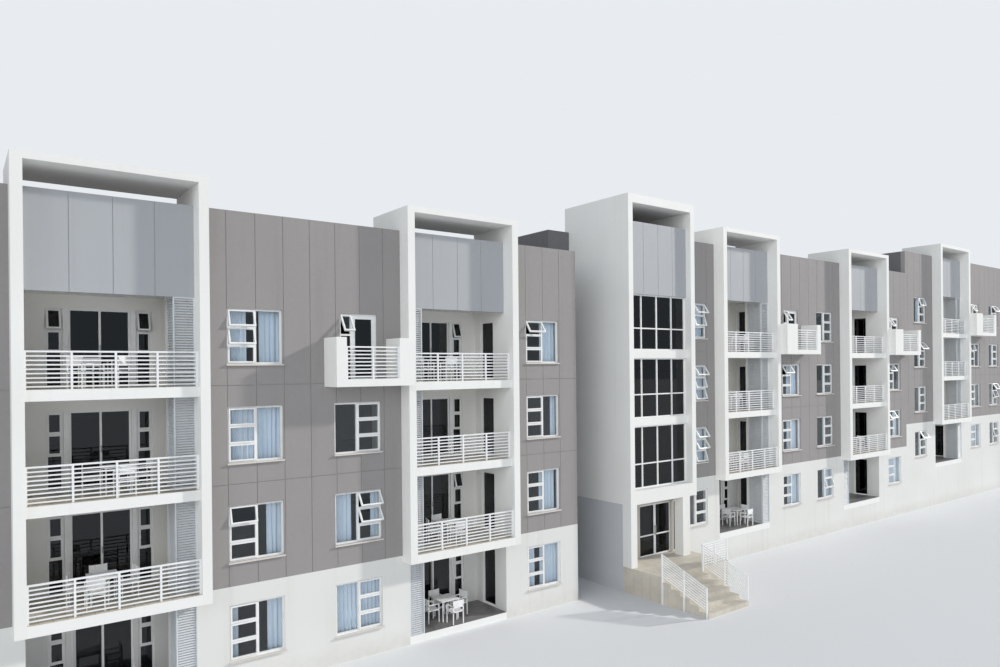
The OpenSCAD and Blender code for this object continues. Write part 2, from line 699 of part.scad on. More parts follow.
module window_frames() color("#f4f4f2") {
    at_windows() {
        window_frame("left");
        window_frame("right");
    }
    for (i = [0 : 3])
        translate([box_door_x[i], wall_y + reveal, box_level[i] + 3 * storey_h]) box_door_frame();
    translate([entry_side_x, wall_y + reveal - sash_t / 2, landing_z])
        pane_frame(entry_side_w, entry_h, 1);
}
module pane_sheet(w, h, frame_t = sash_t) {
    translate([0, frame_t, 0]) cube([w, glass_t, h]);
}
module window_glass() color("#3c4a55") {
    at_windows() {
        pane_sheet(win_w, win_h);
        pane_sheet(win_w, win_h);
    }
    for (i = [0 : 3])
        translate([box_door_x[i], wall_y + reveal, box_level[i] + 3 * storey_h])
            pane_sheet(box_door_w, door_h);
    translate([entry_side_x, wall_y + reveal - sash_t / 2, landing_z])
        pane_sheet(entry_side_w, entry_h);
}
module tower_glass() color("#3c4a55") for (i = [0 : 2])
    translate([x_tower + fin_t, glazing_y, glazing_foot[i]])
        pane_sheet(tower_w - 2 * fin_t, glazing_head[i] - glazing_foot[i], tower_bar_t);
module sill() {
    translate([-sill_side, -reveal - sill_reach, -sill_t]) cube([win_w + 2 * sill_side, sill_reach, sill_t]);
}
module window_sills() color("#eeeeea") at_windows() {
    sill();
    sill();
}

// fixed frames of the balcony doors: two leaves and the small windows beside them
module pane_frame(w, h, columns, rows = [0, 1]) {
    pitch = (w - sash_w) / columns;
    difference() {
        cube([w, sash_t, h]);
        for (i = [0 : columns - 1]) for (r = [0 : len(rows) - 2])
            translate([i * pitch + sash_w, -1, rows[r] * (h - sash_w) + sash_w])
                cube([pitch - sash_w, sash_t + 2, (rows[r + 1] - rows[r]) * (h - sash_w) - sash_w]);
    }
}
frame_y = recess_y + 20;
module side_lights(f, s, glass) {
    for (side = [-1, 1])
        translate([side_x(f, side), frame_y, f[1] + s * storey_h]) {
            if (glass) pane_sheet(side_w, door_h);
            else pane_frame(side_w, door_h, 1, side_rows);
        }
}
// the narrow windows in the side walls of a balcony
module slot_lights(f, s, glass) {
    for (slot = fin_slots(f))
        translate([slot[0] + fin_t / 2 + (1 - slot[3]) * sash_t, wall_y + slot[1], f[1] + s * storey_h])
            rotate([0, 0, 90]) {
                if (glass) pane_sheet(slot[2], door_h);
                else pane_frame(slot[2], door_h, 1);
            }
}
module door_pair(f, s, glass) {
    translate([door_mid(f) - door_w / 2, frame_y, f[1] + s * storey_h]) {
        if (glass) pane_sheet(door_w, door_h);
        else pane_frame(door_w, door_h, 2);
    }
}
// the last two frames have fixed doors on the ground storey too
function first_fixed(i) = i < 3 ? 1 : 0;
module door_frames() color("#f4f4f2") for (i = [0 : 4]) {
    for (s = [first_fixed(i) : storeys - 1]) door_pair(frames[i], s, false);
    for (s = [0 : storeys - 1]) {
        side_lights(frames[i], s, false);
        slot_lights(frames[i], s, false);
    }
}
module door_glass() color("#3c4a55") for (i = [0 : 4]) {
    for (s = [first_fixed(i) : storeys - 1]) door_pair(frames[i], s, true);
    for (s = [0 : storeys - 1]) {
        side_lights(frames[i], s, true);
        slot_lights(frames[i], s, true);
    }
    if (first_fixed(i) > 0)
        translate([door_mid(frames[i]) + sash_w / 2, frame_y + sash_t / 2 - glass_t / 2,
            frames[i][1] + sash_w + 1])
            cube([door_w / 2 - 1.5 * sash_w, glass_t, door_h - 2 * sash_w - 2]);
}

// surround of a sliding pair: the front track holds the fixed leaf, the back track is for the sliding one
surround_t = sash_t + 2 * leaf_gap + leaf_t + 10;
module patio_frames() color("#f4f4f2") for (i = [0 : 2])
    translate([door_mid(frames[i]) - door_w / 2, frame_y, frames[i][1]]) difference() {
        cube([door_w, surround_t, door_h]);
        translate([sash_w, sash_t, sash_w]) cube([door_w - 2 * sash_w, surround_t, door_h - 2 * sash_w]);
        translate([sash_w, -1, sash_w]) cube([door_w / 2 - 1.5 * sash_w, surround_t, door_h - 2 * sash_w]);
        translate([(door_w + sash_w) / 2, -1, sash_w])
            cube([door_w / 2 - 1.5 * sash_w, surround_t, door_h - 2 * sash_w]);
    }

// a sliding patio leaf: a frame round one pane, on two runners
module patio_leaf(f) {
    h = door_h - 2 * sash_w - 2 * leaf_gap;
    w = (door_w - sash_w) / 2 - leaf_gap;
    translate([door_mid(f) - door_w / 2 + sash_w + leaf_gap, frame_y + sash_t + leaf_gap,
        f[1] + sash_w + leaf_gap]) {
        difference() {
            cube([w, leaf_t, h]);
            for (face = [-1, 1]) translate([sash_w, face * (leaf_t + glass_t) / 2, sash_w])
                cube([w - 2 * sash_w, leaf_t, h - 2 * sash_w]);
        }
        for (x = [0.2 * w, 0.8 * w]) translate([x - 12, leaf_t / 4, seat_gap - leaf_gap])
            cube([24, leaf_t / 2, leaf_gap]);
    }
}
module patio_leaf_1() color("#f4f4f2") patio_leaf(frames[0]);
module patio_leaf_2() color("#f4f4f2") patio_leaf(frames[1]);
module patio_leaf_3() color("#f4f4f2") patio_leaf(frames[2]);

// stair tower: two side walls that start over the entrance
module tower_walls() color("#dfe2e4") for (x = [x_tower, x_wall_4 - fin_t])
    block([x, tower_y, mid + tower_soffit], [x + fin_t, gap_inner_y, mid + tower_h]);
// wall under the left side wall, behind the corner pier
module tower_base() color("#9a9691")
    block([x_tower, tower_y + column_w, 0], [x_tower + fin_t, gap_inner_y, mid + tower_soffit]);
// pier at the left corner and column on the right, both on the landing
module entrance_columns() color("#eeeeea") {
    block([x_tower, tower_y, landing_z], [x_tower + pier_w, tower_y + column_w, mid + tower_soffit]);
    block([x_tower + column_x, tower_y, landing_z],
        [x_tower + column_x + column_w, tower_y + column_w, mid + tower_soffit]);
}
module tower_back_wall() color("#9a9691")
    block([x_tower + fin_t, gap_y, mid + roof_z],
        [x_wall_4 - fin_t, gap_inner_y, mid + tower_h - tower_top_t]);
module tower_bands() color("#eeeeea") {
    x0 = x_tower + fin_t;
    x1 = x_wall_4 - fin_t;
    block([x0, tower_y, mid + tower_soffit], [x1, wall_y, mid + tower_soffit + tower_beam_h]);
    for (i = [1, 2])
        block([x0, tower_y + band_setback, band_top[i] - band_h], [x1, inner_y, band_top[i]]);
    block([x0, tower_y, mid + tower_h - tower_top_t], [x1, gap_inner_y, mid + tower_h]);
}

// floors of the stair tower, from the landing's level up to its roof slab
module tower_floors() color("#bdb9b2") {
    x0 = x_tower + fin_t;
    x1 = x_wall_4 - fin_t;
    y1 = gap_inner_y - seat_gap;
    block([x0, wall_y + entry_wall_t, landing_z - slab_t], [x1, y1, landing_z]);
    block([x0, wall_y, mid + storey_h - slab_t], [x1, y1, mid + storey_h]);
    for (s = [2 : 3]) block([x0, inner_y, mid + s * storey_h - slab_t], [x1, y1, mid + s * storey_h]);
    block([x0, tower_y + band_setback + panel_t, mid + roof_z - slab_t], [x1, y1, mid + roof_z]);
}

// wall round the entrance doors
entry_side_x = x_tower + entry_x + entry_w + entry_side_gap;
module entrance_wall() color("#c9c5be") difference() {
    block([x_tower + fin_t, wall_y, 0], [x_wall_4, wall_y + entry_wall_t, mid + tower_soffit]);
    front_hole(x_tower + entry_x, landing_z, entry_w, entry_h);
    front_hole(entry_side_x, landing_z, entry_side_w, entry_h);
}

// a glazed door leaf; its hinge stile is rounded about the pivots, so it turns clear of the jamb
module entrance_leaf(side) {
    w = (entry_w - 3 * leaf_gap) / 2;
    h = entry_h - 2 * leaf_gap;
    rail_z = h * 0.4;
    x = side == "left" ? x_tower + entry_x + leaf_gap : x_tower + entry_x + entry_w - leaf_gap;
    translate([x, wall_y + (entry_wall_t - leaf_t) / 2, landing_z + leaf_gap])
        mirror([side == "left" ? 0 : 1, 0, 0]) {
        difference() {
            union() {
                translate([leaf_t / 2, 0, 0]) cube([w - leaf_t / 2, leaf_t, h]);
                translate([leaf_t / 2, leaf_t / 2, 0]) cylinder(r = leaf_t / 2, h = h, $fn = 48);
            }
            for (face = [-1, 1]) {
                translate([sash_w, face * (leaf_t + glass_t) / 2, sash_w])
                    cube([w - 2 * sash_w, leaf_t, rail_z - 1.5 * sash_w]);
                translate([sash_w, face * (leaf_t + glass_t) / 2, rail_z + sash_w / 2])
                    cube([w - 2 * sash_w, leaf_t, h - rail_z - 1.5 * sash_w]);
            }
        }
        translate([leaf_t / 2, leaf_t / 2, seat_gap - leaf_gap])
            cylinder(r = pivot_r, h = h + 2 * (leaf_gap - seat_gap), $fn = 48);
    }
}
module entrance_leaf_left() color("#f4f4f2") entrance_leaf("left");
module entrance_leaf_right() color("#f4f4f2") entrance_leaf("right");

// landing and steps of the entrance
module entrance_steps() color("#cfcac0") {
    block([x_tower, wall_y - landing_d, 0], [x_wall_4, tower_y + column_w, landing_z]);
    block([x_tower + fin_t, tower_y + column_w - lap, 0], [x_wall_4, wall_y, landing_z]);
    for (i = [1 : riser_count - 1])
        block([x_tower, wall_y - landing_d - (riser_count - i) * going, 0],
            [x_tower + steps_w, wall_y - landing_d + lap, i * riser]);
}

// handrails beside the steps, with bars that follow the slope
module stair_rail(x) {
    run = (riser_count - 1) * going - 2 * post_w;
    top_y = wall_y - landing_d - post_w;
    drop = run * riser / going;
    slope = atan2(drop, run);
    for (i = [0, 0.5, 1])
        block([x, top_y - i * run, 0],
            [x + post_w, top_y - i * run + post_w, landing_z - i * drop + handrail_h]);
    pitch = (handrail_h - top_rail_h) / (bar_count + 0.5);
    for (i = [0 : bar_count])
        translate([x + (post_w - bar_t) / 2, top_y + post_w / 2, landing_z + handrail_h - i * pitch - 2])
            rotate([slope + 180, 0, 0]) cube([bar_t, norm([run, drop]), i == 0 ? top_rail_h : bar_h]);
}
module entrance_railings() color("#f4f4f2") {
    stair_rail(x_tower - post_w);
    stair_rail(x_tower + steps_w);
    railing(x_tower + steps_w + post_w + 5, x_wall_4, wall_y - landing_d + 10, landing_z, handrail_h, 3);
}

front_wall_1();
front_wall_2();
front_wall_3();
front_wall_4();
front_wall_5();
front_wall_6();
front_wall_7();
front_wall_8();
plinth_walls();
back_walls();
back_plinths();
end_walls();
step_walls();
gap_walls();
floors();
floor_bays();
roofs();
roof_bays();
frame_fins_1();
frame_fins_2();
frame_fins_3();
frame_fins_4();
frame_fins_5();
frame_tops();
balcony_slabs();
balcony_walls();
patio_side_walls();
patio_piers();
patio_infills();
parapet_panels();
balcony_railings();
louvre_screens();
duct_walls();
box_balconies();
window_frames();
window_glass();
window_sills();
door_frames();
door_glass();
patio_frames();
patio_leaf_1();
patio_leaf_2();
patio_leaf_3();
tower_walls();
tower_base();
tower_bands();
tower_floors();
tower_back_wall();
tower_bars();
tower_glass();
entrance_columns();
entrance_wall();
entrance_leaf_left();
entrance_leaf_right();
entrance_steps();
entrance_railings();
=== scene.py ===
"""Looks of the apartment block: four storeys, white balcony frames and a glazed stair tower.

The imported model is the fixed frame. Every place below comes from the boxes of its nodes and of their solids.
Lengths are metres of the half-size model. X runs along the street front, Y goes into the building, Z is up.
"""

import itertools
import math

import bmesh
import bpy
import numpy as np
from mathutils import Matrix, Vector


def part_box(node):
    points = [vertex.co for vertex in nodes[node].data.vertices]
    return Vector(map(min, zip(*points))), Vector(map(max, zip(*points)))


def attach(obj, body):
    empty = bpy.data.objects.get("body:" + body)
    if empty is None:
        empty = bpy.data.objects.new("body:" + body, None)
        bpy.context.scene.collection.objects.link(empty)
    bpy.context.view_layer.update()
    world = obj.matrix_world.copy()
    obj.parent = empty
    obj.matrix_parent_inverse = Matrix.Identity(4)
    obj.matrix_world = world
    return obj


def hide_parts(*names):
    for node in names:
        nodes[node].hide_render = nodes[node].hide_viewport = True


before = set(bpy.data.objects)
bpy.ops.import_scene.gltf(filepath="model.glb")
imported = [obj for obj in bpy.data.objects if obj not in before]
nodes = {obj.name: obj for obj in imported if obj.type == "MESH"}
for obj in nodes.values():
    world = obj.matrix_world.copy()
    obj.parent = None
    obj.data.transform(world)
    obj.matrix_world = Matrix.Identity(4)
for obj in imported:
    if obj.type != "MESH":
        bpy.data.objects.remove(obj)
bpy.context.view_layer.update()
BODY = "block"

# boxes whose places or sizes differ by less than this are alike
NEAR = 0.01

# storeys and walls
STOREY = 1.4
WALL = 0.125
SLAB = 0.14

# windows: the frame's bars, the small sashes that lie in its front, and the glass
WINDOW_W = 0.8
VENT_W = 0.395
BAR = 0.028
FRAME_DEPTH = 0.04
SASH_BAR = 0.022
SASH_DEPTH = 0.03
SASH_PROUD = 0.012
SASH_LAP = 0.007
PANE = 0.005

# sash angles in degrees, one by one and for the three sashes of a window from the top one down
SHUT, AJAR, OPEN = 0, 17, 34
ALL_SHUT = (SHUT, SHUT, SHUT)
TOP_AJAR = (AJAR, SHUT, SHUT)
TOP_OPEN = (OPEN, SHUT, SHUT)

# curtains: the size of a fold, and the faces across each fold and down the cloth
FOLD_W = 0.074
FOLD_DEPTH = 0.021
FOLD_FACES = 10
CLOTH_ROWS = 9
CLOTH_T = 0.0015
# a fold's depth at the rail and how much is added at the foot, as shares, and how far the foot sways aside
FOLD_TOP = 0.55
FOLD_MORE = 0.45
FOOT_SWAY = 0.010
# how unevenly the folds drift aside and swell, as shares
FOLD_DRIFT = 0.25
FOLD_UNEVEN = 0.28
# how far curtains hang behind the wall, reach over and under the window and beside it, and their rails
CURTAIN_GAP = 0.028
CURTAIN_MORE = 0.05
CURTAIN_ASIDE = 0.02
CURTAIN_RAIL_ASIDE = 0.04
CURTAIN_RAIL_H = 0.012

# glazing beside the balcony doors and in the box balcony doors, with its rows as shares of the height
SIDE_PANE_W = 0.21
SIDE_ROWS = (0.0, 0.45, 0.725, 1.0)
BOX_DOOR_W = 0.635
BOX_SIDE_W = 0.19
BOX_ROWS = (0.0, 0.35, 0.7, 1.0)
STILE = 0.05
# glass that is thinner than this in X closes a window of a side wall, and a sliding door is wider than this
EDGE_ON_W = 0.05
DOOR_LEAST_W = 0.6
# the strips of aluminium between the doors and the windows beside them
STRIP_T = 0.006
# floor tiles of the balconies
TILE = 0.15

# door handles: their size, their feet as shares of it, and their place as a share of the door's height
HANDLE_H = 0.09
HANDLE_GRIP = 0.009
HANDLE_REACH = 0.022
HANDLE_FEET = (-0.36, 0.36)
HANDLE_AT = 0.5
BOX_HANDLE_AT = 0.46
# the tall handles of the entrance, and how far their middle is above the rail
ENTRANCE_HANDLE_H = 0.2
ENTRANCE_HANDLE_UP = 0.11

# moving leaves
LEAF_GAP = 0.0057
LEAF_RAIL = 0.4
LEAF_EDGE = 0.002

# louvre screens and their blades
LOUVRE_W = 0.275
BLADE_PITCH = 0.035
BLADE_W = 0.029
BLADE_T = 0.004
BLADE_TILT = 45
SCREEN_EDGE = 0.016
SCREEN_INSET = 0.001

# tables and chairs
TABLE_W = 0.36
TABLE_H = 0.36
TABLE_TOP = 0.014
TABLE_LEG = 0.016
CHAIR_W = 0.22
CHAIR_SEAT = 0.215
CHAIR_H = 0.41
CHAIR_LEG = 0.015
# a chair's back, with its height and middle as shares of the whole height, and how far the arms are over the
# seat, as a share of the seat's height
CHAIR_BACK = 0.3
CHAIR_BACK_AT = 0.84
CHAIR_ARM = 0.45
# how far a chair stands from its table, and the table from the front of the floor, and how far the table is
# pushed aside where the louvres are on the left
CHAIR_OUT = 0.30
TABLE_IN = 0.43
TABLE_SHIFT = 0.22


# Boxes of the frame

def solids(node):
    """(low corner, high corner) of each separate solid of a node, from left to right and then upwards."""
    mesh = nodes[node].data
    co = np.empty(len(mesh.vertices) * 3)
    mesh.vertices.foreach_get("co", co)
    co = co.reshape(-1, 3)
    places, place_of = np.unique(np.round(co, 5), axis=0, return_inverse=True)
    place_of = place_of.reshape(-1)
    root = list(range(len(places)))

    def find(i):
        while root[i] != i:
            root[i] = root[root[i]]
            i = root[i]
        return i

    edges = np.empty(len(mesh.edges) * 2, dtype=np.int64)
    mesh.edges.foreach_get("vertices", edges)
    for a, b in place_of[edges.reshape(-1, 2)]:
        root[find(int(a))] = find(int(b))
    groups = {}
    for i in range(len(places)):
        groups.setdefault(find(i), []).append(i)
    boxes = [(Vector(places[g].min(0)), Vector(places[g].max(0))) for g in groups.values()]
    return sorted(boxes, key=lambda b: (round(b[0].x, 3), round(b[0].z, 3)))


def size(box):
    """Width, depth and height of a box."""
    return box[1] - box[0]


def alike(a, b):
    """Whether two lengths are the same, apart from rounding and trim."""
    return abs(a - b) < NEAR


def columns(boxes):
    """The boxes that stand over each other, column by column from the left."""
    found = {}
    for box in boxes:
        found.setdefault(round(box[0].x, 2), []).append(box)
    return [found[x] for x in sorted(found)]


def within(boxes, around, foot):
    """Those boxes that stand at one height between the sides of another, from left to right."""
    return [b for b in boxes if alike(b[0].z, foot) and around[0].x < b[0].x < around[1].x]


window_boxes = [b for b in solids("window_glass") if alike(size(b).x, WINDOW_W)]
front_windows = columns([b for b in window_boxes if b[0].y < 0])
back_windows = [b for b in window_boxes if b[0].y > 0]
door_boxes = solids("door_glass")
rail_boxes = solids("balcony_railings")
frame_boxes = [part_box(f"frame_fins_{i + 1}") for i in range(5)]
# just over the highest patio floor, which is that of the last frame: all slabs above it are balconies
patio_top = min(b[1].z for b in solids("balcony_slabs") if b[0].x > frame_boxes[-1][0].x) + NEAR / 2
wall_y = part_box("front_wall_1")[0].y
inner_y = wall_y + WALL


def floor_z(which):
    """Level of the patio floor under a balcony frame."""
    return frame_boxes[which][0].z + SLAB - STOREY


# Meshes and pieces

def box_into(bm, low, high):
    """Adds a closed box between two corners."""
    corners = [bm.verts.new(corner) for corner in itertools.product(*zip(low, high))]
    for face in ((0, 1, 3, 2), (4, 6, 7, 5), (0, 4, 5, 1), (2, 3, 7, 6), (0, 2, 6, 4), (1, 5, 7, 3)):
        bm.faces.new([corners[i] for i in face])


def mesh_object(name, bm, smooth=False):
    """A piece from a finished bmesh, with its faces turned outwards."""
    bmesh.ops.recalc_face_normals(bm, faces=bm.faces)
    mesh = bpy.data.meshes.new(name)
    bm.to_mesh(mesh)
    bm.free()
    if smooth:
        mesh.shade_smooth()
    piece = bpy.data.objects.new(name, mesh)
    bpy.context.scene.collection.objects.link(piece)
    return piece


def settle(piece):
    """Turns a piece's modifiers into its plain mesh."""
    bpy.context.view_layer.update()
    graph = bpy.context.evaluated_depsgraph_get()
    mesh = bpy.data.meshes.new_from_object(piece.evaluated_get(graph), depsgraph=graph)
    piece.modifiers.clear()
    piece.data = mesh
    return piece


def rounded(piece, width):
    """Bevels the edges of a piece."""
    bevel = piece.modifiers.new("edges", "BEVEL")
    bevel.width = width
    bevel.segments = 2
    bevel.limit_method = "ANGLE"
    return settle(piece)


def place(piece, material, slot, body=BODY, replaces=()):
    """Gives a finished piece its material and its body, and hides the nodes that it replaces. Its slot is not
    used.
    """
    if material is not None:
        piece.data.materials.clear()
        piece.data.materials.append(material)
    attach(piece, body)
    if replaces:
        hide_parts(*replaces)
    return piece


# Node trees

class Tree:
    """A node tree that starts empty, with short ways to add nodes and join them."""

    def __init__(self, tree):
        self.tree = tree
        self.tree.nodes.clear()

    def add(self, kind, inputs=None, **settings):
        """A new node with its settings, and with a value or a link on each of the given inputs."""
        node = self.tree.nodes.new(kind)
        for label, value in settings.items():
            setattr(node, label, value)
        for label, value in (inputs or {}).items():
            self.put(value, node.inputs[label])
        return node

    def put(self, value, socket):
        if isinstance(value, bpy.types.NodeSocket):
            self.tree.links.new(value, socket)
        else:
            socket.default_value = value

    def maths(self, operation, *values):
        return self.add("ShaderNodeMath", dict(enumerate(values)), operation=operation).outputs[0]

    def mixed_shaders(self, share, a, b):
        return self.add("ShaderNodeMixShader", {0: share, 1: a.outputs[0], 2: b.outputs[0]}).outputs[0]


# Materials

class Finish(Tree):
    """A procedural material, built node by node on Object coordinates."""

    def __init__(self, name, roughness=0.7, extras=None):
        self.material = bpy.data.materials.new(name)
        self.material.use_nodes = True
        super().__init__(self.material.node_tree)
        self.shader = self.add("ShaderNodeBsdfPrincipled", {"Roughness": roughness, **(extras or {})})
        self.output = self.add("ShaderNodeOutputMaterial", {"Surface": self.shader.outputs[0]})
        self.place = self.add("ShaderNodeTexCoord").outputs["Object"]

    def stretched(self, scale):
        return self.add("ShaderNodeMapping", {"Vector": self.place, "Scale": scale}).outputs[0]

    def axis(self, letter, place=None):
        return self.add("ShaderNodeSeparateXYZ", {0: place or self.place}).outputs[letter]

    def noise(self, scale, detail, place=None):
        inputs = {"Vector": place or self.place, "Scale": scale, "Detail": detail}
        return self.add("ShaderNodeTexNoise", inputs).outputs["Fac"]

    def ramp(self, value, low, high, to_low=0.0, to_high=1.0):
        """Turns values from low to high softly into values from to_low to to_high."""
        inputs = {"Value": value, "From Min": low, "From Max": high, "To Min": to_low, "To Max": to_high}
        return self.add("ShaderNodeMapRange", inputs, interpolation_type="SMOOTHSTEP").outputs[0]

    def patches(self, scale, detail, low=0.3, high=0.7, least=0.0, most=1.0, place=None):
        """Soft patches: noise from low to high, spread over the shares from least to most."""
        return self.ramp(self.noise(scale, detail, place), low, high, least, most)

    def rain(self, most):
        """Upright streaks, with their strongest share."""
        return self.patches(1.0, 4, 0.52, 0.8, most=most, place=self.stretched((7, 7, 0.35)))

    def upward(self, low, high):
        """Grows from 0 to 1 as the surface turns to face up."""
        return self.ramp(self.axis("Z", self.add("ShaderNodeNewGeometry").outputs["Normal"]), low, high)

    def bricks(self, width, height, joint, extras=None, offset=0.0):
        """Rows of slabs, rolls or boards with joints between them."""
        inputs = {"Vector": self.place, "Scale": 1.0, "Brick Width": width, "Row Height": height,
                  "Mortar Size": joint, **(extras or {})}
        return self.add("ShaderNodeTexBrick", inputs, offset=offset)

    def mixed(self, share, a, b):
        return self.add("ShaderNodeMix", {"Factor": share, 6: a, 7: b}, data_type="RGBA").outputs[2]

    def bumped(self, height, strength, distance):
        inputs = {"Strength": strength, "Distance": distance, "Height": height}
        return self.add("ShaderNodeBump", inputs).outputs[0]

    def paint(self, colour):
        self.put(colour, self.shader.inputs["Base Color"])

    def rough(self, value):
        self.put(value, self.shader.inputs["Roughness"])

    def bump(self, height, strength, distance):
        self.put(self.bumped(height, strength, distance), self.shader.inputs["Normal"])

    def surface(self, shader):
        """Sets another shader in the place of the plain one."""
        self.put(shader, self.output.inputs["Surface"])


def srgb(r, g, b):
    """A colour given as it looks on a screen, from 0 to 255."""
    def linear(c):
        c /= 255
        return c / 12.92 if c <= 0.04045 else ((c + 0.055) / 1.055) ** 2.4
    return (linear(r), linear(g), linear(b), 1.0)


WHITE_PAINT = srgb(238, 238, 235)
WHITE_DIRT = srgb(196, 192, 184)
DUST = srgb(190, 187, 180)


def plaster(name, colour, dirt, streaks=0.5, grain=0.25, roughness=0.8):
    """Painted plaster: soft clouds of tone, rain streaks, splash dirt at the foot and a sandy grain."""
    f = Finish(name, roughness)
    tone = f.mixed(f.patches(0.55, 4, most=0.125), colour, dirt)
    tone = f.mixed(f.rain(0.30 * streaks), tone, dirt)
    foot = f.ramp(f.axis("Z"), 0.02, 0.35, 0.45, 0)
    splash = f.maths("MULTIPLY", foot, f.noise(9, 5))
    f.paint(f.mixed(splash, tone, dirt))
    f.rough(f.patches(14, 3, least=roughness - 0.06, most=roughness + 0.08))
    f.bump(f.noise(160, 3), grain, 0.002)
    return f.material


def painted_metal(name, colour, roughness=0.35, metallic=0.0):
    """Powder-coated metal with a faint orange peel and slightly dusty patches."""
    f = Finish(name, roughness, {"Metallic": metallic})
    dusty = f.patches(5, 4, 0.45, 0.75, most=0.18)
    f.paint(f.mixed(dusty, colour, DUST))
    f.rough(f.patches(20, 3, least=roughness - 0.05, most=roughness + 0.12))
    f.bump(f.noise(420, 2), 0.06, 0.0006)
    return f.material


# how much of the glass is gloss where it faces the eye, and how much more where it lies flat to it
GLOSS_LEAST = 0.045
GLOSS_MORE = 0.9


def window_glass_finish(name, tint):
    """Clear glass: light passes through it, and its gloss grows with the angle."""
    f = Finish(name)
    f.tree.nodes.remove(f.shader)
    clear = f.add("ShaderNodeBsdfTransparent", {"Color": tint})
    wave = f.bumped(f.noise(1.7, 1), 0.08, 0.004)
    gloss = f.add("ShaderNodeBsdfGlossy", {"Roughness": 0.03, "Color": (0.9, 0.93, 0.95, 1), "Normal": wave})
    slant = f.add("ShaderNodeLayerWeight", {"Blend": 0.5}).outputs["Facing"]
    share = f.maths("MULTIPLY_ADD", f.maths("POWER", slant, 5.0), GLOSS_MORE, GLOSS_LEAST)
    f.surface(f.mixed_shaders(share, clear, gloss))
    return f.material


def curtain_finish():
    """Pale blue-white voile with a fine weave, a little light passing through it."""
    f = Finish("curtain_voile", 0.85, {"Sheen Weight": 0.3, "Sheen Roughness": 0.5})
    threads = {"Vector": f.add("ShaderNodeUVMap").outputs[0], "Scale": 160}
    weave = f.add("ShaderNodeTexWave", threads, wave_type="BANDS", bands_direction="X")
    f.paint(f.mixed(f.patches(3, 3, most=0.3), srgb(236, 245, 255), srgb(208, 228, 253)))
    f.bump(weave.outputs["Fac"], 0.1, 0.0004)
    through = f.add("ShaderNodeBsdfTranslucent", {"Color": srgb(225, 235, 250)})
    f.surface(f.mixed_shaders(0.12, f.shader, through))
    return f.material


def roof_felt():
    """Grey roofing felt in rolls, with laps, grit and dry puddle marks."""
    f = Finish("roof_felt", 0.9)
    felt, puddle, grit, lap = srgb(122, 121, 120), srgb(140, 137, 132), srgb(98, 97, 97), srgb(84, 84, 85)
    laps = f.bricks(2.6, 0.5, 0.006, {"Mortar Smooth": 0.3}, offset=0.5)
    tone = f.mixed(f.patches(0.8, 5, 0.45, 0.6), felt, puddle)
    tone = f.mixed(f.patches(70, 2, 0.35, 0.65, most=0.35), tone, grit)
    f.paint(f.mixed(laps.outputs["Fac"], tone, lap))
    f.bump(f.maths("ADD", f.noise(220, 2), laps.outputs["Fac"]), 0.35, 0.003)
    return f.material


def slab_finish():
    """White painted slabs, tiled where they face up: beige on the balconies, dark grey on the patios."""
    f = Finish("balcony_slab", 0.6)
    up = f.upward(0.5, 0.8)
    tiles = f.bricks(TILE, TILE, 0.003)
    cloud = f.patches(5, 5)
    beige = f.mixed(cloud, srgb(206, 198, 184), srgb(190, 181, 166))
    grey = f.mixed(cloud, srgb(128, 127, 125), srgb(112, 111, 110))
    upstairs = f.ramp(f.axis("Z"), patio_top, patio_top + 2 * NEAR)
    joint = f.maths("MULTIPLY", tiles.outputs["Fac"], 0.6)
    floor = f.mixed(joint, f.mixed(upstairs, grey, beige), srgb(110, 106, 100))
    white = f.mixed(f.rain(0.12), WHITE_PAINT, WHITE_DIRT)
    f.paint(f.mixed(up, white, floor))
    f.rough(f.ramp(up, 0, 1, 0.7, 0.45))
    f.bump(f.noise(160, 3), 0.15, 0.002)
    return f.material


def stone_finish():
    """Pale beige step stone in slabs with thin joints."""
    f = Finish("step_stone", 0.65)
    slabs = f.bricks(0.3, 0.216, 0.003)
    joint = f.maths("MULTIPLY", slabs.outputs["Fac"], 0.6)
    tone = f.mixed(f.patches(3, 5), srgb(214, 207, 194), srgb(198, 190, 177))
    speckled = f.mixed(f.patches(60, 4, 0.5, 0.75, most=0.4), tone, srgb(170, 161, 147))
    f.paint(f.mixed(joint, speckled, srgb(140, 134, 125)))
    f.bump(f.noise(90, 4), 0.2, 0.002)
    return f.material


def floor_boards():
    """Dark timber floor of the rooms, and their ceiling painted dark grey as painted shade of the unlit rooms:
    the side that faces up is boarded.
    """
    f = Finish("room_floor", 0.6)
    colours = {"Color1": srgb(66, 58, 52), "Color2": srgb(56, 49, 44), "Mortar": srgb(30, 27, 25)}
    boards = f.bricks(0.6, 0.06, 0.002, colours, offset=0.37)
    grain = f.patches(4, 4, 0.35, 0.7, most=0.4, place=f.stretched((2, 30, 1)))
    wood = f.mixed(grain, boards.outputs["Color"], srgb(48, 42, 38))
    # the faces that do not face up, the ceilings, get a dark grey: painted shade of the unlit rooms
    f.paint(f.mixed(f.upward(0.2, 0.6), srgb(58, 58, 57), wood))
    f.bump(boards.outputs["Fac"], 0.1, 0.001)
    return f.material


TAUPE = plaster("taupe_boards", srgb(152, 148, 147), srgb(125, 122, 120), 0.6, 0.12)
# grey render: partly the step walls' own dark paint, and partly painted shade on the walls in the gap beside
# the stair tower
GREY = plaster("grey_render", srgb(108, 108, 111), srgb(88, 87, 88), 0.7)
SILL = plaster("sill_render", srgb(214, 208, 202), srgb(176, 169, 161), 0.3)
BASE = plaster("base_render", srgb(200, 202, 205), srgb(166, 166, 165), 0.4)
WHITE_WALL = plaster("white_render", srgb(227, 227, 224), srgb(182, 177, 166), 0.5)
WHITE_FRAME = plaster("white_frame_paint", WHITE_PAINT, WHITE_DIRT, 0.35, 0.18, 0.7)
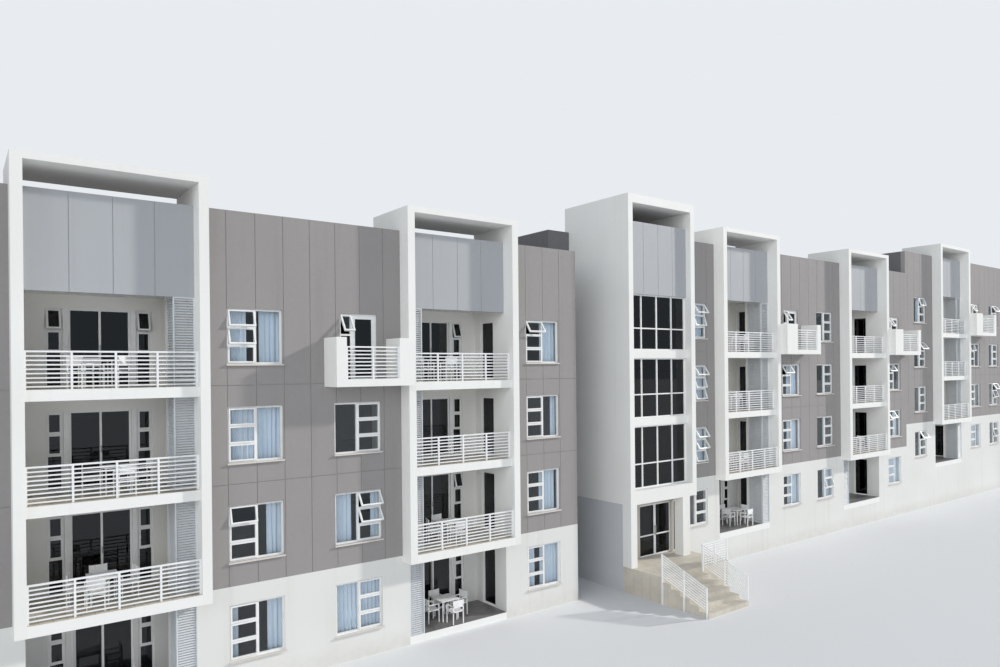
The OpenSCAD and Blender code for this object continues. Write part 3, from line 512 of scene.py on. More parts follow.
# the recess plaster is lighter than the recess walls' own paint: painted light that brightens the balcony
# recesses and ducts as if sun reached into them
RECESS = plaster("recess_plaster", srgb(241, 239, 234), srgb(208, 204, 197), 0.3)
PANEL = plaster("pale_panel", srgb(172, 175, 179), srgb(150, 151, 152), 0.5, 0.1, 0.6)
ENTRANCE = plaster("entrance_render", srgb(196, 191, 184), srgb(160, 155, 147), 0.3)
RAIL = painted_metal("railing_white", srgb(241, 242, 243), 0.35)
LOUVRE = painted_metal("louvre_aluminium", srgb(212, 216, 220), 0.4)
ALUMINIUM = painted_metal("window_aluminium", srgb(240, 240, 239), 0.32)
STEEL = painted_metal("handle_steel", srgb(150, 153, 157), 0.3, 0.8)
CHAIR = painted_metal("chair_white", srgb(244, 244, 243), 0.4)
GLASS = window_glass_finish("window_glass_clear", (0.95, 0.97, 0.98, 1))
DOOR_GLASS = window_glass_finish("door_glass_tinted", (0.24, 0.26, 0.28, 1))
DARK_GLASS = window_glass_finish("window_glass_dark", (0.16, 0.18, 0.19, 1))
CURTAIN = curtain_finish()
ROOF = roof_felt()
STONE = stone_finish()
ROOM = floor_boards()
SLAB_FINISH = slab_finish()

NODE_FINISHES = {
    "front_wall_": TAUPE, "plinth_walls": WHITE_WALL, "back_walls": TAUPE, "back_plinths": WHITE_WALL,
    "end_walls": TAUPE, "step_walls": GREY, "gap_walls": GREY, "floors": ROOM, "floor_bays": ROOM,
    "roofs": ROOF, "roof_bays": ROOF, "frame_fins_": WHITE_FRAME, "frame_tops": WHITE_FRAME,
    "balcony_slabs": SLAB_FINISH, "balcony_walls": RECESS, "patio_side_walls": WHITE_WALL,
    "patio_piers": WHITE_WALL, "patio_infills": WHITE_WALL, "parapet_panels": PANEL,
    "balcony_railings": RAIL, "duct_walls": RECESS, "box_balconies": WHITE_FRAME,
    "window_sills": SILL, "door_frames": ALUMINIUM, "door_glass": DOOR_GLASS,
    "patio_frames": ALUMINIUM, "patio_leaf_": ALUMINIUM, "tower_walls": WHITE_FRAME, "tower_base": BASE,
    "tower_bands": WHITE_FRAME, "tower_floors": ROOM, "tower_back_wall": GREY, "tower_bars": ALUMINIUM,
    "tower_glass": DARK_GLASS, "entrance_columns": WHITE_FRAME, "entrance_wall": ENTRANCE,
    "entrance_leaf_": ALUMINIUM, "entrance_steps": STONE, "entrance_railings": RAIL,
    "window_frames": ALUMINIUM, "window_glass": GLASS, "louvre_screens": LOUVRE,
}


def finish_nodes():
    """Gives each node of the frame its material."""
    for name, node in nodes.items():
        key = next(k for k in NODE_FINISHES if name == k or (k.endswith("_") and name.startswith(k)))
        node.data.materials.clear()
        node.data.materials.append(NODE_FINISHES[key])


# What repeats

class Repeat(Tree):
    """A Geometry Nodes tree with named sizes that sets one form on every vertex of a mesh."""

    def __init__(self, name, sizes):
        super().__init__(bpy.data.node_groups.new(name, "GeometryNodeTree"))
        self.sockets = {}
        ends = self.tree.interface
        ends.new_socket("Geometry", in_out="INPUT", socket_type="NodeSocketGeometry")
        for label, value in sizes.items():
            socket = ends.new_socket(label, in_out="INPUT", socket_type="NodeSocketFloat")
            socket.default_value = value
            self.sockets[label] = socket.identifier
        socket = ends.new_socket("Material", in_out="INPUT", socket_type="NodeSocketMaterial")
        self.sockets["Material"] = socket.identifier
        ends.new_socket("Geometry", in_out="OUTPUT", socket_type="NodeSocketGeometry")
        self.given = self.add("NodeGroupInput")
        self.result = self.add("NodeGroupOutput")

    def sizes(self, *labels):
        return [self.given.outputs[label] for label in labels]

    def share(self, length, factor):
        return self.maths("MULTIPLY", length, factor)

    def vector(self, *lengths):
        return self.add("ShaderNodeCombineXYZ", dict(enumerate(lengths))).outputs[0]

    def bar(self, dimensions, centre):
        """A box of some size about a centre."""
        cube = self.add("GeometryNodeMeshCube", {"Size": self.vector(*dimensions)})
        placed = {"Geometry": cube.outputs["Mesh"], "Translation": self.vector(*centre)}
        return self.add("GeometryNodeTransform", placed).outputs["Geometry"]

    def joined(self, parts):
        node = self.add("GeometryNodeJoinGeometry")
        for part in parts:
            self.put(part, node.inputs[0])
        return node.outputs[0]

    def on_points(self, form):
        """Sets the form on every vertex, turned by the vertex's own 'turn', and ends the tree."""
        points = self.add("GeometryNodeMeshToPoints", {"Mesh": self.given.outputs["Geometry"]}).outputs[0]
        turn = self.add("GeometryNodeInputNamedAttribute", {"Name": "turn"}, data_type="FLOAT_VECTOR")
        seated = {"Points": points, "Instance": form, "Rotation": turn.outputs["Attribute"]}
        spread = self.add("GeometryNodeInstanceOnPoints", seated).outputs[0]
        real = self.add("GeometryNodeRealizeInstances", {0: spread}).outputs[0]
        dressed = {"Geometry": real, "Material": self.given.outputs["Material"]}
        self.put(self.add("GeometryNodeSetMaterial", dressed).outputs[0], self.result.inputs[0])
        return self

    def spread(self, name, seats, material, **sizes):
        """One plain mesh with the form at each seat, a (point, (turn about x, y, z)) pair."""
        mesh = bpy.data.meshes.new(name)
        mesh.from_pydata([tuple(p) for p, _ in seats], [], [])
        turn = mesh.attributes.new("turn", "FLOAT_VECTOR", "POINT")
        turn.data.foreach_set("vector", [c for _, t in seats for c in t])
        piece = bpy.data.objects.new(name, mesh)
        bpy.context.scene.collection.objects.link(piece)
        live = piece.modifiers.new("repeat", "NODES")
        live.node_group = self.tree
        for label, value in sizes.items():
            live[self.sockets[label]] = value
        live[self.sockets["Material"]] = material
        return settle(piece)


def sash_tree():
    """A sash that hangs from the point at the middle of its top edge."""
    r = Repeat("sash", {"Width": 0.3, "Height": 0.2, "Bar": SASH_BAR, "Depth": SASH_DEPTH})
    w, h, bar, depth = r.sizes("Width", "Height", "Bar", "Depth")
    right = r.maths("SUBTRACT", r.share(w, 0.5), r.share(bar, 0.5))
    top_z = r.share(bar, -0.5)
    foot_z = r.maths("SUBTRACT", r.share(h, -1.0), top_z)
    inside_h = r.maths("SUBTRACT", h, r.share(bar, 2.0))
    sides = (right, r.share(right, -1.0))
    stiles = [r.bar((bar, depth, inside_h), (x, 0.0, r.share(h, -0.5))) for x in sides]
    rails = [r.bar((w, depth, bar), (0.0, 0.0, z)) for z in (top_z, foot_z)]
    return r.on_points(r.joined(stiles + rails))


def pane_tree():
    """A pane that hangs from the point at the middle of its top edge."""
    r = Repeat("pane", {"Width": 0.3, "Height": 0.2, "Margin": SASH_BAR, "Thickness": PANE})
    w, h, margin, t = r.sizes("Width", "Height", "Margin", "Thickness")
    less = r.share(margin, 2.0)
    sheet = (r.maths("SUBTRACT", w, less), t, r.maths("SUBTRACT", h, less))
    return r.on_points(r.bar(sheet, (0.0, 0.0, r.share(h, -0.5))))


def blade_tree():
    """A louvre blade with its middle at the point."""
    r = Repeat("blade", {"Length": 0.2, "Width": BLADE_W, "Thickness": BLADE_T})
    return r.on_points(r.bar(r.sizes("Length", "Width", "Thickness"), (0.0, 0.0, 0.0)))


def handle_tree():
    """An upright pull handle on two feet, standing out towards -Y from the point at its middle."""
    r = Repeat("handle", {"Height": HANDLE_H, "Grip": HANDLE_GRIP, "Reach": HANDLE_REACH})
    h, grip, reach = r.sizes("Height", "Grip", "Reach")
    parts = [r.bar((grip, grip, h), (0.0, r.share(reach, -1.0), 0.0))]
    for foot in HANDLE_FEET:
        parts.append(r.bar((grip, reach, grip), (0.0, r.share(reach, -0.5), r.share(h, foot))))
    return r.on_points(r.joined(parts))


def table_tree():
    """A square table that stands on the point."""
    r = Repeat("table", {"Width": TABLE_W, "Height": TABLE_H, "Top": TABLE_TOP, "Leg": TABLE_LEG})
    w, h, top, leg = r.sizes("Width", "Height", "Top", "Leg")
    right = r.maths("SUBTRACT", r.share(w, 0.5), r.share(leg, 1.5))
    sides = (right, r.share(right, -1.0))
    leg_h = r.maths("SUBTRACT", h, top)
    parts = [r.bar((leg, leg, leg_h), (x, y, r.share(leg_h, 0.5))) for x in sides for y in sides]
    parts.append(r.bar((w, w, top), (0.0, 0.0, r.maths("SUBTRACT", h, r.share(top, 0.5)))))
    return r.on_points(r.joined(parts))


def chair_tree():
    """A chair that stands on the point and looks towards +Y: legs, seat, arms and a broad back."""
    r = Repeat("chair", {"Width": CHAIR_W, "Seat": CHAIR_SEAT, "Height": CHAIR_H, "Leg": CHAIR_LEG})
    w, seat, h, leg = r.sizes("Width", "Seat", "Height", "Leg")
    front = r.maths("SUBTRACT", r.share(w, 0.5), r.share(leg, 0.5))
    back = r.share(front, -1.0)
    parts = [r.bar((w, w, leg), (0.0, 0.0, seat)),
             r.bar((w, r.share(leg, 0.6), r.share(h, CHAIR_BACK)), (0.0, back, r.share(h, CHAIR_BACK_AT)))]
    for x in (front, back):
        parts += [r.bar((leg, leg, seat), (x, front, r.share(seat, 0.5))),
                  r.bar((leg, leg, h), (x, back, r.share(h, 0.5))),
                  r.bar((leg, leg, r.share(seat, CHAIR_ARM)), (x, front, r.share(seat, 1 + CHAIR_ARM / 2))),
                  r.bar((leg, w, leg), (x, 0.0, r.share(seat, 1 + CHAIR_ARM)))]
    return r.on_points(r.joined(parts))


SASHES = sash_tree()
PANES = pane_tree()
BLADES = blade_tree()
HANDLES = handle_tree()
TABLES = table_tree()
CHAIRS = chair_tree()

# What the front windows show, by column from the left: the side of the small sashes and then, by storey from
# the ground, how far each of the three is open and where the curtains hang, as shares of the width
FRONT_LOOKS = [
    ("left", [
        (ALL_SHUT, ((0.0, 0.22), (0.72, 1.0))),
        (TOP_AJAR, ((0.0, 0.12), (0.72, 1.0))),
        (ALL_SHUT, ((0.0, 0.5), (0.5, 1.0))),
        ((AJAR, AJAR, SHUT), ((0.0, 0.4), (0.62, 1.0)))]),
    ("right", [
        (ALL_SHUT, ((0.0, 0.5), (0.5, 1.0))),
        ((OPEN, OPEN, SHUT), ((0.0, 0.42), (0.82, 1.0))),
        (ALL_SHUT, ())]),
    ("left", [
        (ALL_SHUT, ((0.0, 0.35), (0.5, 1.0))),
        (ALL_SHUT, ((0.0, 0.15), (0.5, 0.95))),
        (ALL_SHUT, ((0.86, 1.0),)),
        (TOP_OPEN, ((0.0, 0.12), (0.55, 1.0)))]),
    ("right", [
        (ALL_SHUT, ((0.0, 0.3),)),
        ((OPEN, OPEN, AJAR), ((0.5, 1.0),)),
        ((OPEN, AJAR, AJAR), ((0.45, 1.0),)),
        ((OPEN, AJAR, SHUT), ((0.5, 1.0),))]),
    ("left", [
        (ALL_SHUT, ((0.5, 1.0),)),
        (ALL_SHUT, ((0.5, 1.0),)),
        (TOP_OPEN, ((0.5, 1.0),))]),
    ("right", [
        ((SHUT, AJAR, SHUT), ((0.6, 1.0),)),
        (ALL_SHUT, ()),
        (ALL_SHUT, ()),
        (ALL_SHUT, ())]),
    ("left", [
        (ALL_SHUT, ((0.0, 1.0),)),
        (TOP_OPEN, ((0.7, 1.0),)),
        (TOP_OPEN, ())]),
    ("right", [
        (TOP_OPEN, ()),
        (ALL_SHUT, ()),
        (TOP_OPEN, ()),
        (TOP_AJAR, ((0.0, 0.3), (0.55, 0.8)))]),
    ("left", [
        (ALL_SHUT, ((0.5, 1.0),)),
        (ALL_SHUT, ()),
        (TOP_AJAR, ())]),
    ("right", [
        ((SHUT, AJAR, SHUT), ()),
        ((OPEN, AJAR, SHUT), ()),
        (ALL_SHUT, ((0.0, 0.45),)),
        (TOP_OPEN, ())]),
]


# the front of the block faces -1 in Y, and the back faces 1
FRONT, BACK = -1, 1


def frame_middle(low, high, outward=FRONT):
    """Middle plane of the frame that a sheet of glass lies behind."""
    return low.y - FRAME_DEPTH / 2 if outward == FRONT else high.y + FRAME_DEPTH / 2


def pane_into(bm, x0, x1, z0, z1, y):
    """Adds a pane with its middle plane at y."""
    box_into(bm, (x0, y - PANE / 2, z0), (x1, y + PANE / 2, z1))


def hang_sashes(name, seats, width, height, replaces=(), glass=GLASS):
    """Small sashes of one size with their panes, hung at their seats."""
    sashes = SASHES.spread(f"{name}_sashes", seats, ALUMINIUM, Width=width, Height=height)
    place(sashes, None, "white_aluminium")
    panes = PANES.spread(f"{name}_sash_panes", seats, glass, Width=width, Height=height)
    place(panes, None, "glass", replaces=replaces)


def sash_seat(middle_x, top, front_y, angle):
    """Seat of a sash in a frame whose front face is at front_y."""
    point = (middle_x, front_y - SASH_PROUD + SASH_DEPTH / 2, top + SASH_LAP)
    return (point, (-math.radians(angle), 0.0, 0.0))


def vent_seats(low, high, side, angles, outward):
    """Seats of the three small sashes of a window, from the top one down, and their width and height."""
    pane_h = (high.z - low.z - 4 * BAR) / 3
    width = VENT_W - BAR
    from_left = BAR if side == "left" else WINDOW_W - VENT_W
    middle = from_left + width / 2
    x = low.x + middle if outward == FRONT else high.x - middle
    # the glass lies against the back of the frame, and the sashes hang in its front
    front_y = low.y - FRAME_DEPTH if outward == FRONT else high.y + FRAME_DEPTH
    seats = []
    for i, angle in enumerate(angles):
        top = high.z - BAR - i * (pane_h + BAR) + SASH_LAP
        y = front_y + outward * (SASH_PROUD - SASH_DEPTH / 2)
        turn = (-math.radians(angle), 0.0, 0.0 if outward == FRONT else math.pi)
        seats.append(((x, y, top), turn))
    return seats, width + 2 * SASH_LAP, pane_h + 2 * SASH_LAP


def windows():
    """Small top-hung sashes and the panes of every window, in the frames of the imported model."""
    fixed = {FRONT: bmesh.new(), BACK: bmesh.new()}
    vents = {FRONT: [], BACK: []}
    looks = []
    for column, (side, storeys) in zip(front_windows, FRONT_LOOKS):
        looks += [(box, side, angles, FRONT) for box, (angles, _) in zip(column, storeys)]
    looks += [(box, "left", ALL_SHUT, BACK) for box in back_windows]
    for (low, high), side, angles, outward in looks:
        vents_left = (side == "left") == (outward == FRONT)
        wide_x0 = low.x + VENT_W + BAR if vents_left else low.x + BAR
        wide_x1 = high.x - BAR if vents_left else high.x - VENT_W - BAR
        y = frame_middle(low, high, outward)
        pane_into(fixed[outward], wide_x0, wide_x1, low.z + BAR, high.z - BAR, y)
        # all windows are of one size, so the last sash's width and height are those of all
        seats, width, height = vent_seats(low, high, side, angles, outward)
        vents[outward] += seats
    for outward, name, glass in ((FRONT, "window", GLASS), (BACK, "back_window", DARK_GLASS)):
        place(mesh_object(f"{name}_fixed_panes", fixed[outward]), glass, "glass")
        hang_sashes(name, vents[outward], width, height, glass=glass)


def box_balcony_doors():
    """Panes of the box balcony doors and of the pane beside the entrance.

    A small sash hangs over the side panes of each door.
    """
    fixed = bmesh.new()
    seats = []
    handles = []
    for low, high in solids("window_glass"):
        width, height = high.x - low.x, high.z - low.z
        if alike(width, WINDOW_W):
            continue
        y = frame_middle(low, high)
        if not alike(width, BOX_DOOR_W):
            pane_into(fixed, low.x + BAR, high.x - BAR, low.z + BAR, high.z - BAR, y)
            continue
        side = low.x + BOX_SIDE_W
        rows = [low.z + share * (height - BAR) for share in BOX_ROWS]
        pane_into(fixed, side + BAR + STILE, high.x - BAR - STILE,
                  low.z + BAR + STILE, high.z - BAR - STILE, y)
        for foot, head in zip(rows[:-2], rows[1:-1]):
            pane_into(fixed, low.x + BAR, side, foot + BAR, head, y)
        seats.append(sash_seat((low.x + BAR + side) / 2, high.z - BAR, low.y - FRAME_DEPTH, OPEN))
        # all these sashes are of one size, so the last one's is that of all
        sash = (side - low.x - BAR + 2 * SASH_LAP, rows[-1] - rows[-2] - BAR + 2 * SASH_LAP)
        handle = (side + BAR + STILE / 2, low.y - FRAME_DEPTH, low.z + BOX_HANDLE_AT * height)
        handles.append((handle, (0.0, 0.0, 0.0)))
    place(mesh_object("box_door_panes", fixed), DOOR_GLASS, "glass")
    hang_sashes("box_door", seats, *sash, ["window_glass"])
    place(HANDLES.spread("box_door_handles", handles, STEEL), None, "rail_metal")


# The upper side sashes that stand open, as (frame, storey, side): side 0 is the left one
AJAR_SIDE_SASHES = {(0, 3, 0), (0, 3, 1), (1, 3, 1), (1, 1, 1), (2, 2, 1)}


def balcony_doors():
    """Panes of the balcony doors and of the windows beside them, whose two upper panes are small sashes."""
    fixed = bmesh.new()
    seats = []
    handles = []
    for low, high in door_boxes:
        width, height = high.x - low.x, high.z - low.z
        y = frame_middle(low, high)
        if width < EDGE_ON_W:
            x = low.x + FRAME_DEPTH / 2 + PANE
            box_into(fixed, (x, low.y + BAR, low.z + BAR), (x + PANE, high.y - BAR, high.z - BAR))
        elif alike(width, SIDE_PANE_W):
            run = height - BAR
            rows = [low.z + share * run for share in SIDE_ROWS]
            pane_into(fixed, low.x + BAR, high.x - BAR, rows[0] + BAR, rows[1], y)
            which = next(i for i, f in enumerate(frame_boxes) if f[0].x <= low.x <= f[1].x)
            storey = round((low.z - floor_z(which)) / STOREY)
            right = int(low.x > (frame_boxes[which][0].x + frame_boxes[which][1].x) / 2)
            for row in (2, 3):
                angle = AJAR if row == 3 and (which, storey, right) in AJAR_SIDE_SASHES else SHUT
                seats.append(sash_seat((low.x + high.x) / 2, rows[row], low.y - FRAME_DEPTH, angle))
        elif width > DOOR_LEAST_W:
            middle = (low.x + high.x) / 2
            pane_into(fixed, low.x + BAR, middle - BAR / 2, low.z + BAR, high.z - BAR, y)
            pane_into(fixed, middle + BAR / 2, high.x - BAR, low.z + BAR, high.z - BAR, y)
            handles.append(((middle, low.y - FRAME_DEPTH, low.z + HANDLE_AT * height), (0.0, 0.0, 0.0)))
        else:
            box_into(fixed, low, high)
    place(mesh_object("balcony_door_panes", fixed), DOOR_GLASS, "glass", replaces=["door_glass"])
    # all side windows are of one height, so the last one's run is that of all
    hang_sashes("side_pane", seats, SIDE_PANE_W - 2 * BAR + 2 * SASH_LAP,
                (SIDE_ROWS[3] - SIDE_ROWS[2]) * run - BAR + 2 * SASH_LAP, glass=DOOR_GLASS)
    place(HANDLES.spread("balcony_door_handles", handles, STEEL), None, "rail_metal")


def door_strips():
    """Aluminium strips that fill the wall between the balcony doors and the windows beside them."""
    strips = bmesh.new()
    sides = [b for b in door_boxes if alike(size(b).x, SIDE_PANE_W)]
    sliding = [b for b in door_boxes if size(b).x > DOOR_LEAST_W]
    recess_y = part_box("balcony_walls")[0].y
    for which, box in enumerate(frame_boxes):
        for storey in range(1, 4):
            z = floor_z(which) + storey * STOREY
            left, right = within(sides, box, z)
            doors = within(sliding, box, z)[0]
            for x0, x1 in ((left[1].x, doors[0].x), (doors[1].x, right[0].x)):
                box_into(strips, (x0, recess_y - STRIP_T, z), (x1, recess_y + STRIP_T, left[1].z))
    place(mesh_object("door_strips", strips), ALUMINIUM, "white_aluminium")


# Where tables and chairs stand: frame, storey, the table's shift to the right, and the sides with a chair, in
# degrees
FURNITURE = [
    (0, 0, 0.02, (90, 270)), (0, 1, 0.02, (80, 200, 285, 0)), (0, 2, 0.21, (85, 172, 278)),
    (0, 3, -0.02, (138, 225, 0)),
    (1, 0, 0.05, (0, 85, 180, 272)), (1, 1, 0.04, (185, 290, 355)), (1, 3, -0.07, (88, 186, 272)),
    (2, 0, 0.36, (0, 88, 180, 268)), (2, 1, -0.05, (100, 180, 265)), (2, 2, 0, (85, 275)),
    (2, 3, 0.05, (92, 170, 268)),
    (3, 1, 0.1, (90,)), (4, 2, 0.1, (270,)),
]


def floor_front(which, level):
    """Where the free floor under a frame begins: at the back of the railing, or at the edge of the patio."""
    rails = within(rail_boxes, frame_boxes[which], level)
    return rails[0][1].y if rails else wall_y


def furniture():
    """White tables and chairs on the balconies and patios."""
    tables, chairs = [], []
    for which, storey, shift, sides in FURNITURE:
        low, high = frame_boxes[which]
        # every second frame has its louvres on the left
        if which % 2:
            middle_x = (low.x + LOUVRE_W + high.x) / 2 - TABLE_SHIFT
        else:
            middle_x = (low.x + high.x - LOUVRE_W) / 2
        level = floor_z(which) + storey * STOREY
        centre = Vector((middle_x + shift, floor_front(which, level) + TABLE_IN, level))
        tables.append((centre, (0.0, 0.0, 0.0)))
        for side in sides:
            angle = math.radians(side)
            away = Vector((math.sin(angle), math.cos(angle), 0.0)) * CHAIR_OUT
            chairs.append((centre + away, (0.0, 0.0, math.pi - angle)))
    place(TABLES.spread("balcony_tables", tables, CHAIR), None, "rail_metal")
    place(CHAIRS.spread("balcony_chairs", chairs, CHAIR), None, "rail_metal")


def leaf_frame(name, box, rails, glass_rows):
    """A glazed leaf in place of its node: stiles, rails at the given heights and panes between them."""
    low, high = box[0] + Vector((0, 0, LEAF_GAP)), box[1] - Vector((0, 0, LEAF_GAP))
    bm = bmesh.new()
    for x in (low.x, high.x - BAR):
        box_into(bm, (x, low.y, low.z), (x + BAR, high.y, high.z))
    for z in rails:
        box_into(bm, (low.x + BAR, low.y, z), (high.x - BAR, high.y, z + BAR))
    leaf = rounded(mesh_object(f"{name}_frame", bm), LEAF_EDGE)
    place(leaf, ALUMINIUM, "white_aluminium", name, [name])
    bm = bmesh.new()
    middle = (low.y + high.y) / 2
    for z0, z1 in glass_rows:
        pane_into(bm, low.x + BAR, high.x - BAR, z0, z1, middle)
    place(mesh_object(f"{name}_panes", bm), DOOR_GLASS, "glass", name)
    return low, high


def moving_leaves():
    """The sliding patio leaves and the two entrance leaves, each on its own body."""
    for i in range(1, 4):
        name = f"patio_leaf_{i}"
        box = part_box(name)
        foot, head = box[0].z + LEAF_GAP, box[1].z
        low, high = leaf_frame(name, (box[0], box[1] + Vector((0, 0, LEAF_GAP))),
                               (foot, head - BAR), [(foot + BAR, head - BAR)])
        seat = ((high.x - BAR / 2, low.y, foot + HANDLE_AT * (head - foot)), (0.0, 0.0, 0.0))
        place(HANDLES.spread(f"{name}_handle", [seat], STEEL), None, "rail_metal", name)
    for side in ("left", "right"):
        name = f"entrance_leaf_{side}"
        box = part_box(name)
        foot, head = box[0].z + LEAF_GAP, box[1].z - LEAF_GAP
        rail = foot + LEAF_RAIL * (head - foot) - BAR / 2
        low, high = leaf_frame(name, box, (foot, rail, head - BAR),
                               [(foot + BAR, rail), (rail + BAR, head - BAR)])
        x = high.x - BAR / 2 if side == "left" else low.x + BAR / 2
        seat = ((x, low.y, rail + ENTRANCE_HANDLE_UP), (0.0, 0.0, 0.0))
        handle = HANDLES.spread(f"{name}_handle", [seat], STEEL, Height=ENTRANCE_HANDLE_H)
        place(handle, None, "rail_metal", name)


def louvres():
    """Blades and edge frames of the louvre screens."""
    sheets = solids("louvre_screens")
    fronts = [b for b in sheets if size(b).x > size(b).y]
    edges = bmesh.new()
    seats = {"front": [], "side": []}
    lengths = {}
    for low, high in sheets:
        middle = (low + high) / 2
        if high.x - low.x > high.y - low.y:
            spin, kind, run = 0.0, "front", high.x - low.x
            posts = [((x, low.y), (x + SCREEN_EDGE, high.y)) for x in (low.x, high.x - SCREEN_EDGE)]
        else:
            partner = next(f for f in fronts if alike(f[0].z, low.z) and f[0].x - NEAR < low.x < f[1].x)
            on_left = low.x < (partner[0].x + partner[1].x) / 2
            spin, kind, run = (-math.pi / 2 if on_left else math.pi / 2), "side", high.y - low.y
            posts = [((low.x, y), (high.x, y + SCREEN_EDGE)) for y in (low.y, high.y - SCREEN_EDGE)]
        for (x0, y0), (x1, y1) in posts:
            box_into(edges, (x0, y0, low.z), (x1, y1, high.z))
        for z in (low.z, high.z - SCREEN_EDGE):
            box_into(edges, (low.x + SCREEN_INSET, low.y + SCREEN_INSET, z),
                     (high.x - SCREEN_INSET, high.y - SCREEN_INSET, z + SCREEN_EDGE))
        count = int((high.z - low.z - 2 * SCREEN_EDGE) / BLADE_PITCH)
        pitch = (high.z - low.z - 2 * SCREEN_EDGE) / count
        for i in range(count):
            z = low.z + SCREEN_EDGE + (i + 0.5) * pitch
            seats[kind].append(((middle.x, middle.y, z), (math.radians(BLADE_TILT), 0.0, spin)))
        lengths[kind] = run - 2 * SCREEN_EDGE
    place(mesh_object("louvre_edges", edges), LOUVRE, "louvre_metal", replaces=["louvre_screens"])
    for kind in seats:
        blades = BLADES.spread(f"louvre_blades_{kind}", seats[kind], LOUVRE, Length=lengths[kind])
        place(blades, None, "louvre_metal")


def curtain(name, x0, x1, low_z, high_z, seed):
    """A curtain in soft folds, hung from its rail. Its folds open towards the foot."""
    rng = np.random.default_rng(seed)
    folds = max(2, round((x1 - x0) / FOLD_W))
    across = folds * FOLD_FACES
    share = np.linspace(0, 1, across + 1)
    drift = FOLD_DRIFT * np.sin(2 * np.pi * (share * rng.uniform(1.2, 2.2) + rng.uniform()))
    swell = 1 - FOLD_UNEVEN + FOLD_UNEVEN * np.sin(2 * np.pi * (share * rng.uniform(2, 4) + rng.uniform()))
    y_mid = inner_y + CURTAIN_GAP
    bm = bmesh.new()
    grid, widths = [], []
    for r in range(CLOTH_ROWS + 1):
        down = r / CLOTH_ROWS
        depth = FOLD_DEPTH * (FOLD_TOP + FOLD_MORE * down)
        wave = np.sin(2 * np.pi * folds * share + drift * (1 + down))
        pull = FOOT_SWAY * down * np.sin(2 * np.pi * (share + rng.uniform() * 0.05))
        x = x0 + share * (x1 - x0) + pull
        y = y_mid + depth * swell * wave
        z = high_z - down * (high_z - low_z)
        grid.append([bm.verts.new((float(a), float(b), z)) for a, b in zip(x, y)])
        widths.append(float(np.hypot(np.diff(x), np.diff(y)).sum()))
    uv = bm.loops.layers.uv.new("UVMap")
    width, length = sum(widths) / len(widths), high_z - low_z
    for r in range(CLOTH_ROWS):
        for c in range(across):
            face = bm.faces.new((grid[r][c], grid[r][c + 1], grid[r + 1][c + 1], grid[r + 1][c]))
            for loop, (i, j) in zip(face.loops, ((c, r), (c + 1, r), (c + 1, r + 1), (c, r + 1))):
                loop[uv].uv = (share[i] * width, (1 - j / CLOTH_ROWS) * length)
    piece = mesh_object(name, bm, smooth=True)
    solid = piece.modifiers.new("cloth", "SOLIDIFY")
    solid.thickness = CLOTH_T
    solid.offset = 0
    settle(piece)
    place(piece, CURTAIN, "white_paint")


def curtains():
    """Rails above the front windows, and the curtains that hang from them."""
    rails = bmesh.new()
    hung = []
    for c, (column, (_, storeys)) in enumerate(zip(front_windows, FRONT_LOOKS)):
        for s, ((low, high), (_, spans)) in enumerate(zip(column, storeys)):
            if not spans:
                continue
            foot, top = low.z - CURTAIN_MORE, high.z + CURTAIN_MORE
            box_into(rails, (low.x - CURTAIN_RAIL_ASIDE, inner_y, top),
                     (high.x + CURTAIN_RAIL_ASIDE, inner_y + 2 * CURTAIN_GAP, top + CURTAIN_RAIL_H))
            for k, span in enumerate(spans):
                left, right = (low.x - CURTAIN_ASIDE + x * (WINDOW_W + 2 * CURTAIN_ASIDE) for x in span)
                hung.append((f"curtain_{c + 1}_{s}_{k + 1}", left, right, foot, top, 100 * c + 10 * s + k))
    rail = place(mesh_object("curtain_rails", rails), ALUMINIUM, "white_aluminium")
    for name, left, right, foot, top, seed in hung:
        curtain(name, left, right, foot, top, seed)


# Stage, lamps and camera

STAGE_W = 400
BACKGROUND = srgb(232, 236, 240)
SKY_LIGHT = (0.84, 0.92, 1.0, 1)
SKY_STRENGTH = 0.47

# direction of the light, strength, width of the source in degrees, and colour
LAMPS = {
    "key_lamp": ((-0.86, 0.31, -0.41), 2.5, 3, (1.0, 0.965, 0.92)),
    "fill_lamp": ((0.72, 0.67, -0.18), 1.5, 60, (0.97, 0.985, 1.0)),
}


def stage():
    """A plain pale floor that the camera sees as the same tone as the background."""
    bpy.ops.mesh.primitive_plane_add(size=STAGE_W)
    floor = bpy.context.object
    floor.name = "studio_floor"
    f = Finish("studio_floor", 0.9)
    f.paint(srgb(226, 227, 229))
    floor.data.materials.append(f.material)


def lamp(name, direction, strength, angle, colour):
    """A distant lamp that shines in some direction."""
    sun = bpy.data.lights.new(name, "SUN")
    sun.color = colour
    sun.energy = strength
    sun.angle = math.radians(angle)
    holder = bpy.data.objects.new(name, sun)
    holder.rotation_mode = "QUATERNION"
    holder.rotation_quaternion = Vector(direction).to_track_quat("-Z", "Y")
    bpy.context.scene.collection.objects.link(holder)


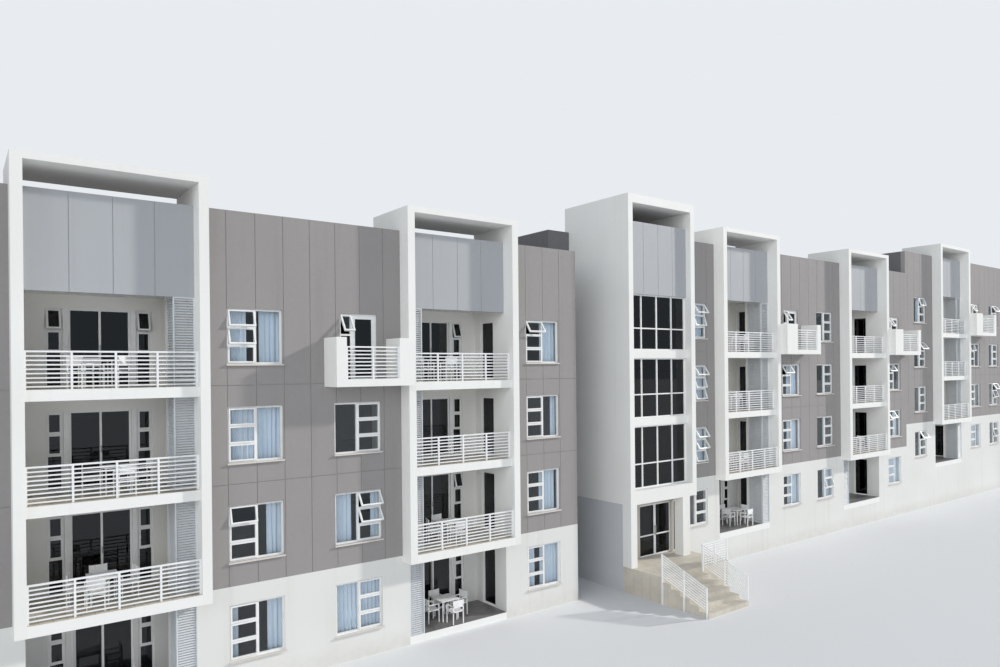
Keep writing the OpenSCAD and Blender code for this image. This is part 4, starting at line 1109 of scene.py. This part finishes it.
def light():
    """Two lamps and a soft sky, with a pale background that only the camera sees."""
    for name, (direction, strength, angle, colour) in LAMPS.items():
        lamp(name, direction, strength, angle, colour)
    world = bpy.data.worlds.new("studio")
    bpy.context.scene.world = world
    world.use_nodes = True
    sky = Tree(world.node_tree)
    seen = sky.add("ShaderNodeLightPath").outputs["Is Camera Ray"]
    lit, shown = (sky.add("ShaderNodeBackground", {"Color": colour, "Strength": strength})
                  for colour, strength in ((SKY_LIGHT, SKY_STRENGTH), (BACKGROUND, 1.0)))
    sky.add("ShaderNodeOutputWorld", {"Surface": sky.mixed_shaders(seen, lit, shown)})


# the camera's place, turn and lens, fitted to the photograph
CAMERA_PLACE = (-15.5285, -12.0675, 4.5225)
CAMERA_YAW = math.radians(36.832)
CAMERA_PITCH = math.radians(-0.044)
CAMERA_ROLL = math.radians(0.570)
LENS = 26.463
SENSOR_W = 36
SHIFT_Y = 0.0359
SIGHT = 500


def camera():
    """The photograph's own view."""
    data = bpy.data.cameras.new("camera")
    data.lens = LENS
    data.sensor_width = SENSOR_W
    data.shift_y = SHIFT_Y
    data.clip_end = SIGHT
    ahead = Vector((math.sin(CAMERA_YAW), math.cos(CAMERA_YAW), 0))
    forward = ahead * math.cos(CAMERA_PITCH) + Vector((0, 0, math.sin(CAMERA_PITCH)))
    level = Vector((math.cos(CAMERA_YAW), -math.sin(CAMERA_YAW), 0))
    upright = level.cross(forward)
    up = upright * math.cos(CAMERA_ROLL) + level * math.sin(CAMERA_ROLL)
    right = level * math.cos(CAMERA_ROLL) - upright * math.sin(CAMERA_ROLL)
    turn = Matrix((right, up, -forward)).transposed().to_4x4()
    holder = bpy.data.objects.new("camera", data)
    holder.matrix_world = Matrix.Translation(CAMERA_PLACE) @ turn
    bpy.context.scene.collection.objects.link(holder)
    bpy.context.scene.camera = holder


camera()
light()
stage()
finish_nodes()
windows()
box_balcony_doors()
balcony_doors()
door_strips()
furniture()
moving_leaves()
louvres()
curtains()

bpy.context.scene.view_settings.view_transform = "Standard"
bpy.context.view_layer.update()
